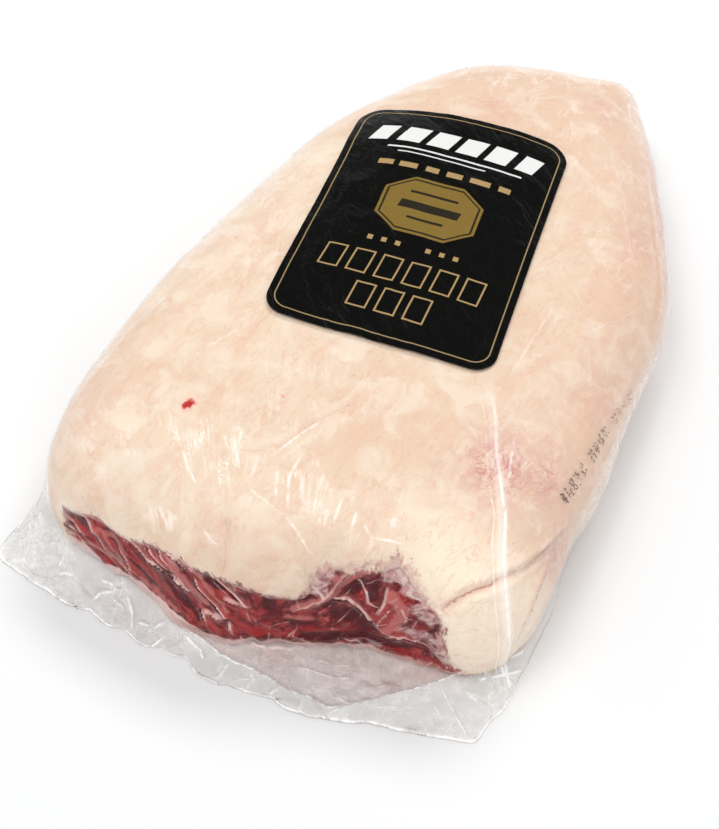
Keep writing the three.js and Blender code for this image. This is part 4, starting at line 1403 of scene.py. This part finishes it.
def film_material():
    """Clear glossy film, milky along pleats, ridges and crumples, tinted where juice lies under it, with
    painted highlights as milky lines and painted shade lines beside its fold and creases.
    """
    material, tree = start_material("clear film")
    at = {key: attribute(tree, key) for key in FILM_NUMBERS}
    wrinkles = use_group(tree, wrinkle_group(), {"Across": at["fan_u"], "Along": at["fan_v"]})
    crinkles = use_group(tree, crinkle_group())
    # light and dark streaks along the pocket: painted reflections of its folds
    reflection_streaks = fine_noise(position(tree, (230, 1000, 1000), (0, 0, -0.12)), 0.30, 3, 0.6, 0.9)
    normal = bump(film_height(tree, at, wrinkles, crinkles), 0.6, 0.0008)
    clear = add(tree, "ShaderNodeBsdfTransparent", {"Color": film_tint(at, reflection_streaks)})
    gloss = add(tree, "ShaderNodeBsdfGlossy", {"Color": (1, 1, 1), "Roughness": 0.11, "Normal": normal})
    index = pick(at["wet"], 1.5, 1.12)
    inside = Field(tree, add(tree, "ShaderNodeNewGeometry").outputs["Backfacing"])
    index = pick(inside, index, maths("DIVIDE", 1.0, index))
    fresnel = add(tree, "ShaderNodeFresnel", {"IOR": index, "Normal": normal}).outputs[0]
    milky = coats("warm milk", (at["loose"], "cool milk"), (at["stain"], "juice milk"))
    milk = principled(tree, milky, 0.3, {"Normal": normal})
    shine = mixed(tree, fresnel, clear.outputs[0], gloss.outputs[0])
    film = mixed(tree, milky_share(tree, at, reflection_streaks, wrinkles, crinkles), shine, milk)
    path = add(tree, "ShaderNodeLightPath").outputs
    unseen = (Field(tree, path["Is Shadow Ray"]) + Field(tree, path["Is Diffuse Ray"])).clipped()
    shade = coats("film shadow", (at["haze"], "haze shadow"), (at["loose"], "loose shadow"))
    veil = add(tree, "ShaderNodeBsdfTransparent", {"Color": shade}).outputs[0]
    return end_material(material, mixed(tree, unseen, film, veil))


# ---- Materials: label, ink and floor ---------------------------------------------------------
# Printed bars: middle x and y, width, height and slant, in mm on the label.
WHITE_BARS = [(x, 34.2, 6.2 if abs(x) > 20 else 7.6, 7.6, 0.35) for x in (-25, -15, -5, 5, 15, 25)]
WHITE_BARS += [(1.0, 27.4, 46, 0.7), (-3, 25.3, 30, 0.5)]
GOLD_BARS = [(x, 19.6, wide, 2.3) for x, wide in
             ((-20, 5), (-12.5, 6), (-4.4, 4.4), (3.2, 5.4), (12, 7), (20.4, 4))]
GOLD_BARS += [(x, -12.8, 1.7, 1.7) for x in (-14, -9.5, -5, 5, 9.5, 14)]
GOLD_FRAMES = [(x, -22.5, 6, 8.6, 0.08) for x in (-22.5, -13.5, -4.5, 4.5, 13.5, 22.5)]
GOLD_FRAMES += [(x, -34.5, 6, 8.6, 0.08) for x in (-9, 0, 9)]
PLAQUE_BARS = [(0, 8.6, 16, 1.0), (0, 3.2, 20, 3.2, 0.2), (0, -1.8, 12, 1.0)]


def bar_group():
    """A soft-edged bar of print: 1 inside, and the distance to its border."""
    tree, g = start_group("printed bar", {"X": 0.0, "Y": 0.0, "Middle X": 0.0, "Middle Y": 0.0,
                                          "Half Width": 1.0, "Half Height": 1.0, "Slant": 0.0})
    dy = g["Y"] - g["Middle Y"]
    dx = g["X"] - g["Middle X"] - g["Slant"] * dy
    gap = (abs(dx) - g["Half Width"]).most(abs(dy) - g["Half Height"])
    return end_group(tree, {"Mask": gap.ramp(0.09, -0.09), "Gap": gap})


def printed(tree, bars, group, result="Mask"):
    """The masks or distances of some printed bars."""
    x, y = attribute(tree, "print_x"), attribute(tree, "print_y")
    for cx, cy, wide, tall, *slant in bars:
        yield use_group(tree, group, {"X": x, "Y": y, "Middle X": cx, "Middle Y": cy, "Half Width": wide / 2,
                                      "Half Height": tall / 2, "Slant": slant[0] if slant else 0.0})[result]


def any_of(masks):
    return functools.reduce(Field.most, masks)


def label_material():
    """Black film label: gold keyline, white and gold bars, and a gold plaque."""
    material, tree = start_material("black label")
    group = bar_group()
    white = any_of(printed(tree, WHITE_BARS, group))
    half = 0.275        # of the width of a gold frame's line
    frames = [abs(gap).ramp(half + 0.07, half - 0.07) for gap in printed(tree, GOLD_FRAMES, group, "Gap")]
    gold = any_of([*printed(tree, GOLD_BARS, group), *frames])
    x, y = attribute(tree, "print_x"), attribute(tree, "print_y")
    plaque, rim = plaque_masks(x, y)
    dark = any_of([*printed(tree, PLAQUE_BARS, group), rim])
    grain = fine_noise(position(tree), 1.3, 4, 0.6)
    brass = coats("dark brass", (grain, "brass"))
    colour = coats("black", (grain, "worn black"), (white, "white print"),
                   (gold * 0.85, "gold print"), (keyline_mask(x, y) * 0.8, "keyline gold"),
                   (plaque, brass), (dark, "plaque print"))
    drawn = position(tree, (1000, 380, 1000), (0, 0, -0.75))
    ripple = fine_noise(drawn, 0.30, 3, 0.55, 0.7) + grain * 0.10
    rough = grain.ramp(0.3, 0.7, 0.16, 0.24)
    inputs = {"Specular IOR Level": 0.16, "Normal": bump(ripple, 0.35, 0.0016)}
    return end_material(material, principled(tree, colour, rough, inputs))


def keyline_mask(x, y):
    """Thin rounded frame line just inside the label's border."""
    inset, corner = 2.4, 5.0
    ax = (abs(x) - (LABEL["width"] / 2 - inset - corner)).most(0.0)
    ay = (abs(y) - (LABEL["side"] / 2 - inset - corner)).most(0.0)
    return abs(maths("SQRT", ax * ax + ay * ay) - corner).ramp(0.26, 0.12)


def plaque_masks(x, y):
    """A gold plaque with eight sides and a dark line inside its rim."""
    dx, dy = abs(x), abs(y - 3.4)
    gap = (dx - 16.5).most(dy - 11.5).most(dx * 0.72 + dy - 17.4)
    return gap.ramp(0.09, -0.09), abs(gap + 1.3).ramp(0.42, 0.26)


def ink_material():
    material, tree = start_material("printing ink")
    tone = fine_noise(position(tree), 0.5, 3)
    colour = coats("ink", (tone, "faded ink"))
    return end_material(material, principled(tree, colour, 0.5, {}))


def floor_material():
    material, tree = start_material("studio paper")
    tone = fine_noise(position(tree, (1, 1, 1)), 3.0, 2)
    colour = coats("paper", (tone, "light paper"))
    return end_material(material, principled(tree, colour, 0.9, {"Specular IOR Level": 0.1}))


# ---- Stage -----------------------------------------------------------------------------------
def make_floor():
    mesh = bpy.data.meshes.new("floor")
    s = 20.0
    mesh.from_pydata([(-s, -s, 0), (s, -s, 0), (s, s, 0), (-s, s, 0)], [], [(0, 1, 2, 3)])
    mesh.materials.append(floor_material())
    add_object("floor", mesh)


def add_light(name, spot, size, power):
    """A soft box that looks at the part."""
    lamp = bpy.data.lights.new(name, "AREA")
    lamp.shape = "RECTANGLE"
    lamp.size, lamp.size_y = size
    lamp.energy = power
    item = add_object(name, lamp)
    item.location = spot
    item.rotation_euler = (Vector((0, 0, 0.02)) - Vector(spot)).to_track_quat("-Z", "Y").to_euler()
    return item


# Where the camera stands in the plan's mm, its two angles in degrees and its lens in mm.
CAMERA = {"spot": (62.5, -198.7, 331.4), "aside": 20, "down": 59, "lens": 49.94}


def make_lights():
    """A bright dome with a dark patch that the label mirrors, and soft boxes for form."""
    add_light("top box", (0.10, -0.15, 1.7), (0.9, 0.9), 1.5)
    add_light("left box", (-1.25, 0.15, 1.15), (0.8, 0.8), 1.0)
    for key in (add_light("key box left", (-0.62, -0.03, 1.62), (0.6, 0.6), 9.0),
                add_light("key box behind", (0.10, 0.98, 1.18), (0.9, 0.35), 12.0),
                add_light("fill box in front", (0.95, -1.20, 0.75), (0.9, 0.7), 3)):
        key.visible_glossy = False      # they shape the shadows without a glare on the film
    world = bpy.data.worlds.new("studio")
    world.use_nodes = True
    tree = world.node_tree
    toward = Field(tree, add(tree, "ShaderNodeTexCoord").outputs["Generated"])
    back = Field(tree, add(tree, "ShaderNodeSeparateXYZ", {0: toward}).outputs["Y"])
    mirrored = vectors("DOT_PRODUCT", toward, (-0.155, 0.624, 0.766), "Value")
    sky = tree.nodes["Background"]
    plug(tree, sky.inputs["Color"], (1.0, 1.0, 1.0))
    level = back.ramp(-0.8, 0.8, 0.935, 0.575) * mirrored.ramp(0.86, 0.95, 1.0, 0.04)
    plug(tree, sky.inputs["Strength"], level)
    bpy.context.scene.world = world


def make_camera():
    """Looks down on the cut end from a little to the right."""
    aside, down = math.radians(CAMERA["aside"]), math.radians(CAMERA["down"])
    back = Vector((math.sin(aside) * math.cos(down), -math.cos(aside) * math.cos(down), math.sin(down)))
    right = Vector((math.cos(aside), math.sin(aside), 0))
    data = bpy.data.cameras.new("camera")
    data.sensor_width = 36
    data.lens = CAMERA["lens"]
    data.clip_start = 0.01
    camera = add_object("camera", data)
    turn = Matrix((right, back.cross(right), back)).transposed().to_4x4()
    camera.matrix_world = Matrix.Translation(Vector(place(CAMERA["spot"]).tolist())) @ turn
    bpy.context.scene.camera = camera


def main():
    groups = {"fat": fat_colour_group(), "lean": lean_colour_group(), "edge": edge_group(),
              "spot": spot_group(), "pleat": pleat_group()}
    make_fat(meat_material("beef fat", groups))
    make_lean(meat_material("lean beef", groups))
    make_film(film_material())
    make_label(label_material())
    make_ink(ink_material())
    make_floor()
    make_lights()
    make_camera()
    bpy.context.scene.view_settings.view_transform = "Standard"


main()
